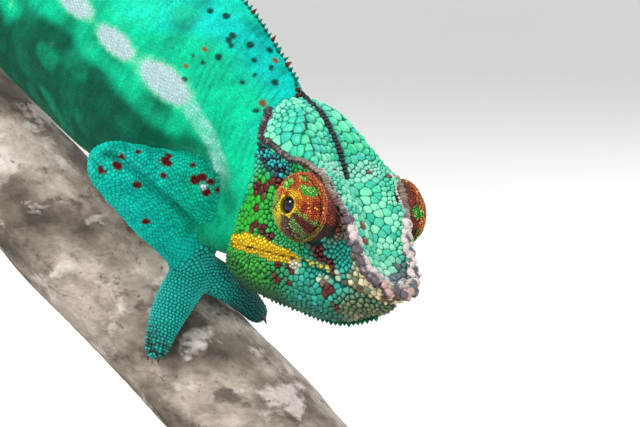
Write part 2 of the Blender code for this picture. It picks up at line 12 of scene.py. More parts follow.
import bmesh
import bpy
import numpy as np
from mathutils import Euler, Matrix, Vector
from mathutils.bvhtree import BVHTree
from mathutils.kdtree import KDTree


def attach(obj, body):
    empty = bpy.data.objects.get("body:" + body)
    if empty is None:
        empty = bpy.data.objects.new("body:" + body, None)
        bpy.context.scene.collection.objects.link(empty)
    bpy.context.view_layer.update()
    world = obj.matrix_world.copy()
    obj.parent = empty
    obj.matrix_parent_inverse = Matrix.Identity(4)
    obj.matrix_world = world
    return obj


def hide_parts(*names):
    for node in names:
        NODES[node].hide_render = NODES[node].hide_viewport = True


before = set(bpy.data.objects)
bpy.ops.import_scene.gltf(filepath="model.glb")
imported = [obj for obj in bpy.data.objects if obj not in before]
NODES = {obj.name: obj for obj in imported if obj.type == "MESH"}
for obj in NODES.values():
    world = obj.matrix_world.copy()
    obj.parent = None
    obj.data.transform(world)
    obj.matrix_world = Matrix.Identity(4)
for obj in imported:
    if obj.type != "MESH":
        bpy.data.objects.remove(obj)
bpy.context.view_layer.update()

MM = 0.001
TAU = math.tau
DRAW = np.random.default_rng(11)

# Places and sizes shared with the solids
SLOPE = math.radians(36.4)
HEAD_PLACE = (13.45, -4.6, 55.2)
HEAD_TURN = tuple(math.radians(a) for a in (1.0, -4.6, -11.3))
WALK = Matrix.Translation((61, 0, 83)) @ Matrix.Rotation(SLOPE, 4, "Y")
HEAD = WALK @ Matrix.Translation(HEAD_PLACE) @ Euler(HEAD_TURN).to_matrix().to_4x4()
EYE_PLACE = (1.6, 11.5, 2.6)
EYE_AXIS = (0.06, 0.985, 0.154)
BRANCH_RADIUS = 14.8
BRANCH_SPAN = (-218, 60)
BRANCH_KNOTS = ((-78, 200, 1.5, 9), (22, 60, 1.1, 8), (-170, 30, 1.2, 10))
TRUNK_WAY = (
    (-1, -2, 45), (-8, -1, 47), (-18, 0, 48), (-30, 0, 47.5), (-50, 0, 47), (-75, 0, 46.8),
    (-100, 0, 45.5), (-122, 0, 43.8), (-140, 0, 42), (-152, 0, 41),
)
TAIL_WAY = ((-166, -1.5, 38.5), (-181, -7.5, 31), (-193, -16, 17))
COIL_CENTRE, COIL_RADIUS, COIL_TURNS, COIL_SHRINK = (-176.0, -25.0, -13.0), 24.5, 2.1, 0.098
COIL_THICKEST = 7  # no part of the coil's skin is farther than this from its axis
LIMB_WAYS = {
    "arm_right": ((-15, -7, 40), (-17, -10, 38.6), (-29, -26.5, 36.3), (-11.5, -4.4, 20.9)),
    "arm_left": ((-17, 7, 40), (-19, 10, 39), (-38, 25.5, 38), (-49, 12.6, 17.3)),
    "leg_right": ((-141, -4, 41), (-139, -6.5, 40), (-119, -29, 38), (-143, -11.3, 18.1)),
    "leg_left": ((-140, 4, 41), (-138, 6.5, 40), (-110, 24, 42), (-121, 10.7, 18.5)),
}
GRIPS = {  # palm, outer toes and inner toes: the station, and the turn from the branch's top
    "hand_right": ((-11.5, 12), (-2.4, 70), (0.6, -25)),
    "hand_left": ((-49, 36), (-40, 86), (-38, -8)),
    "foot_right": ((-143, 32), (-136, 86), (-129, -24)),
    "foot_left": ((-121, 30), (-113, 84), (-107, -24)),
}
ARM_FOLD = (
    (-29.5, -31.0, 40.4), (-27.4, -30.1, 40.8), (-25.6, -29.1, 40.6), (-23.3, -27.5, 40), (-21.2, -25.5, 39.1),
    (-19.1, -23.4, 37.9), (-17.2, -21.2, 36.9), (-15.6, -18.6, 35.8), (-14.2, -16.3, 34.5), (-13, -13, 32.5),
)
SHOULDERS = ((-20.5, -14.8, 38), (-17.5, -12.5, 34.5), (-23, 14.8, 38.5), (-134, -13, 39), (-132, 13, 40))
SHOULDER_FOLD = (
    (-32.5, -13.9, 39.9), (-28.1, -13.4, 43.0), (-23.4, -12.7, 45.3), (-19.7, -11.9, 46.3), (-16.3, -11.7, 46.2),
    (-12.6, -12.1, 45.1), (-9.7, -12.2, 43.2), (-7.4, -12.1, 40.9),
)
CHEST = ((-11, 0, 33), (9, 11, 7))  # loose skin between the arms: its middle and half sizes
SIDES = {"left": 1, "right": -1}

# The skin
GROW = 0.3  # closes the thin cuts between the solids
VOXEL = 0.58
BODY_DEPTH, HEAD_DEPTH, TURRET_DEPTH = 0.26, 0.45, 1.5  # how far it lies under the tips of the scales
ROUNDS, FACE_SHARE, PAW_SHARE = 16, 0.55, 0.8  # smoothing, and how much of it the face and the toes take
SHOULDER_ROUNDS, SHOULDER_REACH = 45, 6.5  # more of it at the shoulders, and how far it reaches

# Landmarks of the head, out to one side
CREST = (
    (-26.3, 7, 9.8), (-24.5, 9.2, 9.8), (-23.4, 10.2, 7.6), (-21.5, 11.3, 5.8), (-17.9, 11.4, 6.6),
    (-14.4, 11.2, 6.9), (-11.1, 11, 7.2), (-8.5, 11, 8.5), (-4.5, 11.2, 9.8), (0.1, 11, 10.2),
    (3.2, 10.6, 9.3), (6.7, 9.9, 7.8), (10, 9, 6), (12.5, 8.2, 3.6), (16, 7.6, 1.2),
    (20.2, 6.8, -0.4), (23.7, 3.8, -1.6), (25.4, 0.4, -1.6),
)
RIDGE = (
    (-27.3, 0, 14.0), (-26.7, 0, 14.7), (-21.5, 0, 14.7), (-17.6, 0, 14.8), (-15, 0, 14), (-11.5, 0, 12.5),
    (-8.9, 0, 11.6), (-5.9, 0, 9.8), (-4.2, 0, 8),
)
MOUTH = (
    (-13.4, 12.4, -16.9), (-7.1, 12.2, -13.7), (-2.3, 11, -11.7), (2.7, 9.7, -9.4), (7, 8.9, -7.9),
    (11.7, 8, -6.8), (18, 6.5, -6.2), (21.5, 4, -5.9), (23.6, 0, -5.7),
)
KEEL = (
    (-9.7, 0, -28.2), (-4.4, 0, -25.9), (1.85, 0, -23.7), (8.1, 0, -21.2), (13.8, 0, -18.2),
    (18.7, 0, -14.3), (22.1, 0, -10.8),
)
NOSTRIL = (18.6, 6.5, -3.1)

# Colours, as linear light
MINT, PALE_MINT, EMERALD = (0.05, 0.66, 0.38), (0.30, 0.82, 0.63), (0.012, 0.50, 0.24)
TURQUOISE, TEAL, DEEP_TEAL = (0.003, 0.52, 0.41), (0.002, 0.26, 0.18), (0.002, 0.08, 0.06)
FLANK, LOW_FLANK, BELLY = (0.001, 0.54, 0.28), (0.001, 0.062, 0.036), (0.02, 0.20, 0.10)
LAVENDER, INK, CYAN = (0.42, 0.53, 0.58), (0.006, 0.016, 0.03), (0.012, 0.42, 0.44)
LEAF, JAW_GREEN, BLOOD = (0.016, 0.37, 0.022), (0.002, 0.12, 0.012), (0.09, 0.004, 0.003)
YELLOW, CREAM, OLIVE = (0.78, 0.60, 0.004), (0.62, 0.56, 0.36), (0.10, 0.13, 0.05)
BROWN, ORANGE, RED_SKIN = (0.05, 0.022, 0.016), (0.50, 0.10, 0.012), (0.26, 0.035, 0.015)


# Small tools ----------


def placed(name, data):
    """A new object in the scene."""
    made = bpy.data.objects.new(name, data)
    bpy.context.scene.collection.objects.link(made)
    return made


def moved(points, matrix):
    m = np.array(matrix)
    return np.asarray(points, float) @ m[:3, :3].T + m[:3, 3]


def in_walk(points):
    return moved(points, WALK.inverted())


def in_head(points):
    return moved(points, HEAD.inverted())


def unit(vectors):
    return vectors / np.maximum(np.linalg.norm(vectors, axis=-1, keepdims=True), 1e-9)


def run_along(points):
    """The length of a line up to each of its points."""
    return np.concatenate([[0], np.cumsum(np.linalg.norm(np.diff(points, axis=0), axis=1))])


def at_run(lengths, run, points):
    """The places at the given lengths along a line."""
    return np.stack([np.interp(lengths, run, points[:, k]) for k in range(3)], axis=-1)


def on_one_side(points):
    """The points, with those on the right moved over to the left."""
    return points * (1, 0, 1) + np.abs(points) * (0, 1, 0)


def smooth_way(points, pitch):
    """Evenly spaced points along a Catmull-Rom curve through the given ones."""
    p = np.array(points, float)
    p = np.vstack([2 * p[0] - p[1], p, 2 * p[-1] - p[-2]])
    t = np.linspace(0, 1, 24, endpoint=False)[:, None]
    fine = []
    for a, b, c, d in zip(p, p[1:], p[2:], p[3:]):
        fine.append(0.5 * (2 * b + (c - a) * t + (2 * a - 5 * b + 4 * c - d) * t**2 + (3 * b - a - 3 * c + d) * t**3))
    fine = np.vstack([*fine, p[-2:-1]])
    run = run_along(fine)
    return at_run(np.linspace(0, run[-1], max(2, round(run[-1] / pitch) + 1)), run, fine)


def mirrored(points, side):
    return np.array(points, float) * (1, side, 1)


def way_distance(points, way):
    """Distance from each point to the nearest point of a finely stepped way."""
    tree = kd_tree(way)
    return np.array([tree.find(p)[2] for p in points])


def kd_tree(points):
    tree = KDTree(len(points))
    for i, p in enumerate(points):
        tree.insert(p, i)
    tree.balance()
    return tree


def waves(points, size, seed):
    """Smooth noise from about -1 to 1, made of a few sine waves of roughly that size."""
    draw = np.random.default_rng(seed)
    total = np.zeros(len(points))
    for _ in range(6):
        turn = unit(draw.normal(size=3)) * (TAU / (size * draw.uniform(0.7, 1.5)))
        total += np.sin(points @ turn + draw.uniform(0, 6.28))
    return total / 2.6


def step(values, low, high):
    """A smooth rise from 0 at the low value to 1 at the high one."""
    t = np.clip((values - low) / (high - low), 0, 1)
    return t * t * (3 - 2 * t)


def fall(values, low, high):
    return 1 - step(values, low, high)


def filled(colour, count):
    return np.tile(np.array(colour), (count, 1))


def paint(base, *layers):
    """Base colours with others laid over them in turn: each a colour, and an amount for each point."""
    for colour, amount in layers:
        base = base + (np.array(colour) - base) * np.clip(amount, 0, 1)[:, None]
    return base


def spot(points, centre, size, edge=0.35):
    """1 inside an oval spot and 0 outside it, with a soft edge."""
    away = np.linalg.norm((points - np.array(centre)) / np.array(size), axis=1)
    return fall(away, 1 - edge, 1 + edge)


def paint_spots(tone, points, spots, colour, shape, edge=0.35, amount=1):
    """Spots of one colour, each given as its place and size. Shape turns a size into three half sizes."""
    for *centre, size in spots:
        tone = paint(tone, (colour, spot(points, centre, shape(size), edge) * amount))
    return tone


def crest_at(x):
    """How high the lateral crest runs over a place on the head, and how far out."""
    line = np.array(CREST)
    return np.interp(x, line[:, 0], line[:, 2]), np.interp(x, line[:, 0], line[:, 1])


def on_roof(head_points):
    """1 on top of the head, between the lateral crests, and 0 on its sides."""
    x, y, z = head_points[:, 0], np.abs(head_points[:, 1]), head_points[:, 2]
    height, reach = crest_at(x)
    lowest = height - 0.9 - 0.55 * np.clip(reach - y, 0, 20)
    return step(z - lowest, -0.3, 0.5) * fall(y - reach, -0.5, 0.5)


def lip_level(head_points):
    """How far a place lies over the line of the mouth."""
    return head_points[:, 2] - np.interp(head_points[:, 0], *np.array(MOUTH)[:, [0, 2]].T)


# The skin ----------

TURRETS = ["eye_turret_left", "eye_turret_right"]
FACE, BODY, LIMBS, PAWS = ("head", "jaw", "eye_turret"), ("neck", "trunk", "tail"), ("arm", "leg"), ("hand", "foot")
FLESH = [name for name in sorted(NODES) if name.startswith(("head", "jaw", *BODY, *LIMBS, *PAWS))]


def paw_of(limb):
    """The name of the hand or foot at the end of a limb."""
    return {"arm": "hand", "leg": "foot"}[limb[:3]] + limb[3:]


def starts(owners, *names):
    """Whether each owner's name starts with one of these."""
    return np.any([np.char.startswith(owners, name) for name in names], axis=0)


def flesh_faces(grow):
    """The flesh solids, welded and grown: their corners, faces, and the node of each face."""
    corners, faces, owners = [], [], []

    def take(bm, name, points):
        faces.extend(tuple(len(corners) + v.index for v in f.verts) for f in bm.faces)
        corners.extend(points)
        owners.extend([name] * len(bm.faces))
        bm.free()

    for name in FLESH + TURRETS:
        bm = bmesh.new()
        bm.from_mesh(NODES[name].data)
        bmesh.ops.remove_doubles(bm, verts=bm.verts, dist=1e-6)
        bm.normal_update()
        take(bm, name, [v.co / MM + v.normal * grow for v in bm.verts])
    middle, half = CHEST
    bm = bmesh.new()
    bmesh.ops.create_uvsphere(bm, u_segments=32, v_segments=18, radius=1.0,
                              matrix=WALK @ Matrix.Translation(middle) @ Matrix.Diagonal((*half, 1)))
    take(bm, "neck", [v.co.copy() for v in bm.verts])
    return corners, faces, np.array(owners)


def voxel_union(corners, faces):
    mesh = bpy.data.meshes.new("skin_union")
    mesh.from_pydata(corners, [], faces)
    made = placed("skin_union", mesh)
    remesh = made.modifiers.new("union", "REMESH")
    remesh.mode, remesh.voxel_size, remesh.adaptivity = "VOXEL", VOXEL, 0
    done = made.evaluated_get(bpy.context.evaluated_depsgraph_get()).to_mesh()
    points = np.empty(len(done.vertices) * 3)
    done.vertices.foreach_get("co", points)
    quads = np.array([tuple(f.vertices) for f in done.polygons])
    edges = np.empty(len(done.edges) * 2, int)
    done.edges.foreach_get("vertices", edges)
    bpy.data.objects.remove(made)
    bpy.data.meshes.remove(mesh)
    return points.reshape(-1, 3), quads, edges.reshape(-1, 2)


def tube_quads(rings, around):
    """Faces of a tube whose rings of corners follow one another."""
    i, j = np.meshgrid(np.arange(rings - 1) * around, np.arange(around), indexing="ij")
    k = (j + 1) % around
    return np.stack([i + j, i + k, i + around + k, i + around + j], axis=-1).reshape(-1, 4)


def quad_normals(points, quads):
    across = np.cross(points[quads[:, 2]] - points[quads[:, 0]], points[quads[:, 3]] - points[quads[:, 1]])
    return unit(np.column_stack([
        sum(np.bincount(quads[:, c], across[:, k], len(points)) for c in range(4)) for k in range(3)
    ]))


def smoothed(points, edges, rounds, share, back=0.52):
    """Taubin smoothing, which rounds facets off and keeps the volume. Share is how much of it each point takes.

    With no step back it fills hollows in, as loose skin does.
    """
    a, b = edges.T
    n = len(points)
    count = np.bincount(a, minlength=n) + np.bincount(b, minlength=n)
    for i in range(rounds * 2):
        pull = np.column_stack([
            np.bincount(a, points[b, k], n) + np.bincount(b, points[a, k], n) for k in range(3)
        ]) / count[:, None] - points
        points = points + pull * ((0.5 if i % 2 == 0 else -back) * share)[:, None]
    return points


def from_bar(points, start, end):
    """Distance from each point to a straight bar, and how far along the bar it lies, from 0 to 1."""
    start, end = np.array(start, float), np.array(end, float)
    run = end - start
    share = np.clip((points - start) @ run / (run @ run), 0, 1)
    return np.linalg.norm(points - start - share[:, None] * run, axis=1), share


def hump(away, width):
    """1 at no distance, sinking to nothing past about twice the width."""
    return np.exp(-((away / width) ** 2))


def shoulder_fold(w):
    """How near each place is to the fold behind a shoulder, from 0 to 1."""
    return hump(way_distance(on_one_side(w) * (1, -1, 1), smooth_way(SHOULDER_FOLD, 0.4)), 2.2)


def relief(points, owners):
    """How far each point of the skin sinks or swells: the crests, lips, nostrils and folds of loose skin."""
    q, w = in_head(points), in_walk(points)
    rise = np.zeros(len(points))
    face = starts(owners, "head", "jaw")
    half = on_one_side(q[face])
    mouth = way_distance(half, smooth_way(MOUTH, 0.3))
    above = lip_level(half) > 0
    lips = fall(half[:, 0], 2.5, 5.5)
    rise[face] -= 1.0 * hump(mouth, 0.4)
    bulge = np.where(above, 0.8 * hump(mouth - 1.5, 1.05), 0.6 * hump(mouth - 1.1, 0.8))
    rise[face] += bulge * lips
    crest = way_distance(half, smooth_way(CREST, 0.3))
    snout = step(half[:, 0], 9, 13)
    rise[face] += (0.45 + 0.35 * snout) * hump(crest, 1.2 + 0.6 * snout)
    rise[face] -= 1.1 * hump(np.linalg.norm(half - np.array(NOSTRIL), axis=1), 0.75)
    body = starts(owners, "neck", "trunk")
    folds = np.sin(w[:, 0] * 1.15 + w[:, 2] * 0.30 + 1.6 * waves(w, 26, 3))
    rise += body * 0.13 * folds * step(w[:, 0], -36, -16)
    rise[~face] -= 0.35 * shoulder_fold(w[~face])
    rise += body * 0.30 * waves(w, 22, 4)
    limb = starts(owners, *LIMBS)
    rise += limb * 0.18 * waves(points, 9, 5)
    for name, way in LIMB_WAYS.items():
        own = starts(owners, name)
        near = np.linalg.norm(w - np.array(way[2]), axis=1)
        rise += own * 0.16 * np.sin(near * 1.75) * hump(near - 8, 4.5)
        if name == "arm_right":
            away = way_distance(w[own], smooth_way(ARM_FOLD, 0.3))
            rise[own] += 0.4 * hump(away - 1.9, 1.1) - 1.2 * hump(away, 0.62)
        else:
            upper, up_share = from_bar(w[own], way[1], way[2])
            lower, low_share = from_bar(w[own], way[2], way[3])
            bent = step(low_share, 0.03, 0.2) * step(1 - up_share, 0.05, 0.2)
            away = upper - lower + 1.0
            rise[own] -= bent * (0.9 * hump(away, 0.8) - 0.25 * hump(np.abs(away) - 2.2, 1.2))
    return rise


def tail_way(steps=200):
    """Points along the axis of the tail's coil, from its start to the tip."""
    sweep = np.linspace(0, TAU * COIL_TURNS, steps)
    radius = COIL_RADIUS * np.exp(-COIL_SHRINK * sweep)
    x = COIL_CENTRE[0] - radius * np.cos(sweep)
    z = COIL_CENTRE[2] - radius * np.sin(sweep)
    return np.column_stack([x, np.full_like(x, COIL_CENTRE[1]), z])


def round_coil(points, owners):
    """Draws the coil out to a round tube, since the straight lengths of the solids show in its outline."""
    way = moved(tail_way(3000), WALK)
    tree = kd_tree(way)
    own = np.flatnonzero(starts(owners, "tail"))
    nearest, away = np.array([tree.find(p)[1:] for p in points[own]]).T
    share = nearest / (len(way) - 1)
    first, last = 0.002, 0.985
    there = (away < COIL_THICKEST) & (share > first) & (share < last)
    own, nearest, away, share = own[there], nearest[there].astype(int), away[there], share[there]
    even = np.polyval(np.polyfit(share, away, 4), share)
    blend = step(share, first, 0.07) * fall(share, 0.95, last)
    points = points.copy()
    points[own] += (points[own] - way[nearest]) * ((even / away - 1) * blend)[:, None]
    return points


def build_skin():
    corners, faces, names = flesh_faces(GROW)
    points, quads, edges = voxel_union(corners, faces)
    solid = BVHTree.FromPolygons(corners, faces)
    owners = names[[solid.find_nearest(p)[2] for p in points]]
    face = starts(owners, *FACE)
    toes = starts(owners, *PAWS)
    share = np.where(face, FACE_SHARE, np.where(toes, PAW_SHARE, 1.0))
    points = smoothed(points, edges, ROUNDS, share)
    near = np.linalg.norm(in_walk(points)[:, None] - np.array(SHOULDERS), axis=2).min(axis=1)
    points = smoothed(points, edges, SHOULDER_ROUNDS, hump(near, SHOULDER_REACH) * ~face, back=0.0)
    normals = quad_normals(points, quads)
    depth = np.where(face, HEAD_DEPTH, BODY_DEPTH)
    depth = np.where(np.isin(owners, TURRETS), TURRET_DEPTH, depth)
    points = points - normals * (GROW + depth)[:, None]
    points = round_coil(points + normals * relief(points, owners)[:, None], owners)
    return points, quads, owners


BODY_WAY = np.vstack([TRUNK_WAY, TAIL_WAY, tail_way()[::9]])
WAY_POINTS = moved(smooth_way(BODY_WAY, 1.0), WALK)
WAY_TREE = kd_tree(WAY_POINTS)
PELVIS = 150  # millimetres down that way to the start of the tail

SKIN, QUADS, OWNERS = build_skin()
SURFACE = BVHTree.FromPolygons([Vector(p) for p in SKIN], QUADS.tolist())


def onto(surface, points):
    """The nearest places on a surface, its normals there, and the numbers of its faces."""
    hits = [surface.find_nearest(p) for p in points]
    return tuple(np.array([hit[k] for hit in hits]) for k in range(3))


def onto_skin(points):
    return onto(SURFACE, points)


# Seeds of the scales ----------

ROW_GAP = 0.855  # rows lie closer than a scale is wide, as in a honeycomb
ROW_RAYS = 97  # cast out round the axis to find each row
JITTER = 0.13  # how far seeds stray from their rows
ROW_CLEAR, FILL_CLEAR = 0.68, 0.84  # how near to others a seed may stand, as a share of its width
LIMB_PITCH, PAW_PITCH = 0.92, 0.82
CREST_CLEAR = 0.7  # the knobs of the lateral crests take the place of scales this near to their line
PLATE_WIDTH = 1.3  # wider scales on the roof of the head are flat plates


def rows_round(way, group, pitch_at, farthest=32, wide=1.07):
    """Seeds in rows square to an axis, each row shifted half a scale against the last."""
    centres = moved(smooth_way(way, 0.2), WALK)
    run = run_along(centres)
    stations, at = [], 0.3
    while at < run[-1]:
        stations.append(at)
        at += ROW_GAP / wide * pitch_at(at / run[-1])
    spread = np.linspace(0, TAU, ROW_RAYS)
    draw = np.random.default_rng(23)
    seeds = []
    up = np.array((0.0, 1.0, 0.0))
    for i, s in enumerate(stations):
        c = at_run(s, run, centres)
        d = unit(at_run(s + 0.6, run, centres) - at_run(s - 0.6, run, centres))
        up = unit(up - d * (up @ d))
        out = np.cos(spread)[:, None] * up + np.sin(spread)[:, None] * np.cross(d, up)
        hits = [SURFACE.ray_cast(Vector(c), Vector(o), farthest) for o in out]
        own = np.array([OWNERS[QUADS[h[2], 0]] if h[0] is not None else "" for h in hits])
        there = starts(own, *group)
        ring = np.array([h[0] if h[0] is not None else c for h in hits])
        pitch = pitch_at(s / run[-1])
        length = np.linalg.norm(np.diff(ring, axis=0), axis=1)
        length[~(there[1:] & there[:-1])] = 0
        total = np.concatenate([[0], np.cumsum(length)])
        if total[-1] < pitch:
            continue
        count = max(3, round(total[-1] / (wide * pitch)))
        marks = (np.arange(count) + 0.5 * (i % 2) + draw.uniform(-JITTER, JITTER, count)) * total[-1] / count
        seeds.append(at_run(marks, total, ring))
    return np.vstack(seeds)


def scale_size(points, owners):
    """The usual width of a scale at each place."""
    q = in_head(points)
    size = np.full(len(points), 0.86)
    size[starts(owners, *PAWS)] = 0.82
    x, y = q[:, 0], np.abs(q[:, 1])
    face = starts(owners, *FACE)
    roof = on_roof(q) > 0.5
    level = lip_level(q)
    uneven = 1 + 0.22 * waves(points, 7, 71)
    cheek = 1.0 + 0.62 * spot(q, (-14, 0, -5), (7, 40, 7))
    casque = 1.15 + 1.5 * np.clip(1 - np.abs(x + 14) / 12, 0, 1) * np.clip((y - 0.6) / 3.2, 0, 1)
    front = 1.1 + 0.62 * spot(q, (9, 0, 3), (12, 6.0, 20), 0.5)
    size = np.where(face, cheek * uneven, size)
    size = np.where(face & roof, np.where(x < -5, casque, front) * uneven, size)
    size = np.where(face & (level < -1.5), (1.05 + 0.2 * spot(q, (8, 0, -11), (9, 40, 8), 0.5)) * uneven, size)
    lips = face & (x > -16) & (x < 4) & (np.abs(level) < 2.8)
    size = np.where(lips, 0.66, size)
    snout = face & ~roof & (x > 15)
    return np.where(snout, 1.15 * uneven, size)


def thin_out(points, sizes, closeness, taken=()):
    """Keeps points, in their order, that stand clear of those kept before and of the taken ones."""
    cell, grid, kept = 3.0, {}, []

    def put(p):
        grid.setdefault(tuple(math.floor(c / cell) for c in p), []).append(p)

    for p in taken:
        put(p.tolist())
    for n, (p, size) in enumerate(zip(points.tolist(), sizes)):
        clear = float(size * closeness)
        spans = [range(math.floor((c - clear) / cell), math.floor((c + clear) / cell) + 1) for c in p]
        near = (other for key in product(*spans) for other in grid.get(key, ()))
        if all((x - p[0]) ** 2 + (y - p[1]) ** 2 + (z - p[2]) ** 2 >= clear**2 for x, y, z in near):
            kept.append(n)
            put(p)
    return np.array(kept, int)


def relaxed(seeds, sizes, places, fixed, rounds=3):
    """Moves scattered seeds to the middles of their own patches of skin."""
    for _ in range(rounds):
        every = np.vstack([seeds, fixed]) if len(fixed) else seeds
        tree = kd_tree(every)
        width = np.concatenate([sizes, np.full(len(every) - len(seeds), 1.0)])
        owner = np.empty(len(places), int)
        for n, p in enumerate(places):
            near = tree.find_n(p, 5)
            owner[n] = min(near, key=lambda f: f[2] / width[f[1]])[1]
        mine = owner < len(seeds)
        count = np.bincount(owner[mine], minlength=len(seeds))
        for k in range(3):
            total = np.bincount(owner[mine], places[mine, k], len(seeds))
            seeds[:, k] = np.where(count > 2, total / np.maximum(count, 1), seeds[:, k])
    return seeds


def beside(line, side, pitch, out=0.0, up=0.0):
    """Places along a line of the head, shifted outward and upward, and the directions along, out and up."""
    way = smooth_way(mirrored(line, side), pitch)
    along = unit(np.gradient(way, axis=0))
    outward = unit(np.cross((0.0, 0.0, 1.0), along)) * side
    upward = np.cross(along, outward) * side
    return way + outward * out + upward * up, along, outward, upward


def lip_rows():
    """Rows of scales along both lips, which leave the dark line of the mouth between them."""
    mouth = np.array(MOUTH)
    rear = mouth[mouth[:, 0] < 3]
    rows = []
    for side in SIDES.values():
        rows += [beside(rear, side, 0.66, up=up)[0] for up in (0.38, 0.96, 1.54, 2.12, 2.70, -0.36, -0.92)]
    rows = moved(np.vstack(rows), HEAD)
    return rows + np.random.default_rng(3).uniform(-JITTER, JITTER, rows.shape)


# Colours of skin and scales ----------

ARM_SPOTS = (  # walk frame: station, out to the right, height, size
    (-28, -32.4, 37, 1.1), (-26, -30.4, 39.6, 1.3), (-27, -29.4, 41.3, 1.0), (-21.7, -26.6, 37.4, 1.0),
    (-26.5, -25.2, 43, 0.8), (-18, -21.7, 29.6, 1.1), (-19.7, -22.2, 41.4, 0.8), (-22, -21, 43.5, 1.5),
    (-23, -19.4, 44.2, 1.0), (-18.7, -15.6, 45, 0.9), (-15.7, -16.7, 43, 1.2), (-15.2, -15.2, 44, 1.1),
    (-12.8, -14.9, 41.7, 1.1), (-13.7, -13.8, 43.7, 0.9), (-11.7, -12, 42.7, 1.1),
)
NECK_SPOTS = (  # station, out to the side, height, size
    (-37.6, 4.5, 70.6, 0.9), (-32.9, 5.7, 68.9, 0.9), (-32.6, 6.6, 68.0, 0.75), (-31.4, 6.9, 67.5, 0.8),
    (-28.7, 4.2, 69.5, 0.9), (-25.1, 1.8, 70.8, 0.8), (-25.4, 5.0, 67.9, 0.7), (-21.8, 3.3, 68.7, 0.8),
    (-18.5, 3.9, 67.1, 0.9), (-31.3, 8.7, 64.3, 0.9), (-36.1, 11.4, 61.3, 0.85), (-33.1, 10.8, 61.6, 0.75),
    (-33.7, 12.7, 56.5, 0.8), (-22.9, 6.1, 66.0, 0.75), (-23.4, 7.8, 63.5, 0.7), (-16.6, 8.1, 61.1, 0.8),
    (-41, 6, 69.6, 0.8), (-46, 3.5, 72.3, 0.9), (-52, 7, 69.5, 0.8), (-58, 4, 72.8, 0.8), (-66, 6.5, 71, 0.8),
)
RUSTY_SPOTS = ((-35, 9.7, 63.7, 0.8), (-35.5, 12.1, 58.7, 0.75), (-16.8, 7.0, 62.8, 1.1), (-22.4, 1.9, 70.1, 0.8))
CHEEK_SPOTS = (  # head frame: forward, out, up, size
    (-16, 11.5, -3.7, 1.5), (-18.8, 11.5, -5.8, 1.1), (-13.4, 11.5, -2.6, 1.5), (-12, 11, 0.6, 1.3),
    (-18.3, 11.7, -10, 1.3), (-13, 12.1, -6.4, 0.9), (-8, 12.2, -9.2, 1.3), (-5.4, 11.8, -9.2, 1.1),
    (-20, 11, -1.5, 0.8), (-10.6, 12.2, -10.4, 0.9), (7, 10.3, -4.6, 1.9), (10.6, 8.6, -4.6, 1.3),
    (11.3, 8.5, -6, 1.0), (11.5, 8.5, -9.8, 1.1), (13.6, 8, -9.3, 0.8), (12.9, 8.2, -11.4, 0.9),
    (-0.4, 10.8, -13, 1.0), (2.4, 10.1, -12, 1.1), (0.3, 10.3, -16.4, 0.9), (3.6, 9.9, -15.1, 0.9),
    (15.8, 6.4, -12.4, 0.9), (8.6, 8.9, -5.2, 0.8),
)
YELLOW_BEADS = ((5.9, 9.1, -7.9, 0.85), (8.4, 8.8, -7.0, 0.85), (10.6, 8.4, -6.3, 0.8))
WHITE_BEADS = ((10, 8.6, -9.0, 0.9), (11.6, 8.3, -8.5, 1.0), (13.4, 7.9, -5.8, 0.9), (3, 9.6, -10.6, 1.3))
BLOBS = (  # station, height, half length
    (-37, 53, 8.0), (-52.5, 52.2, 6.0), (-67, 52.2, 5.8), (-82, 51.3, 5.4), (-97, 50.2, 5.0), (-111, 48.6, 4.4),
)


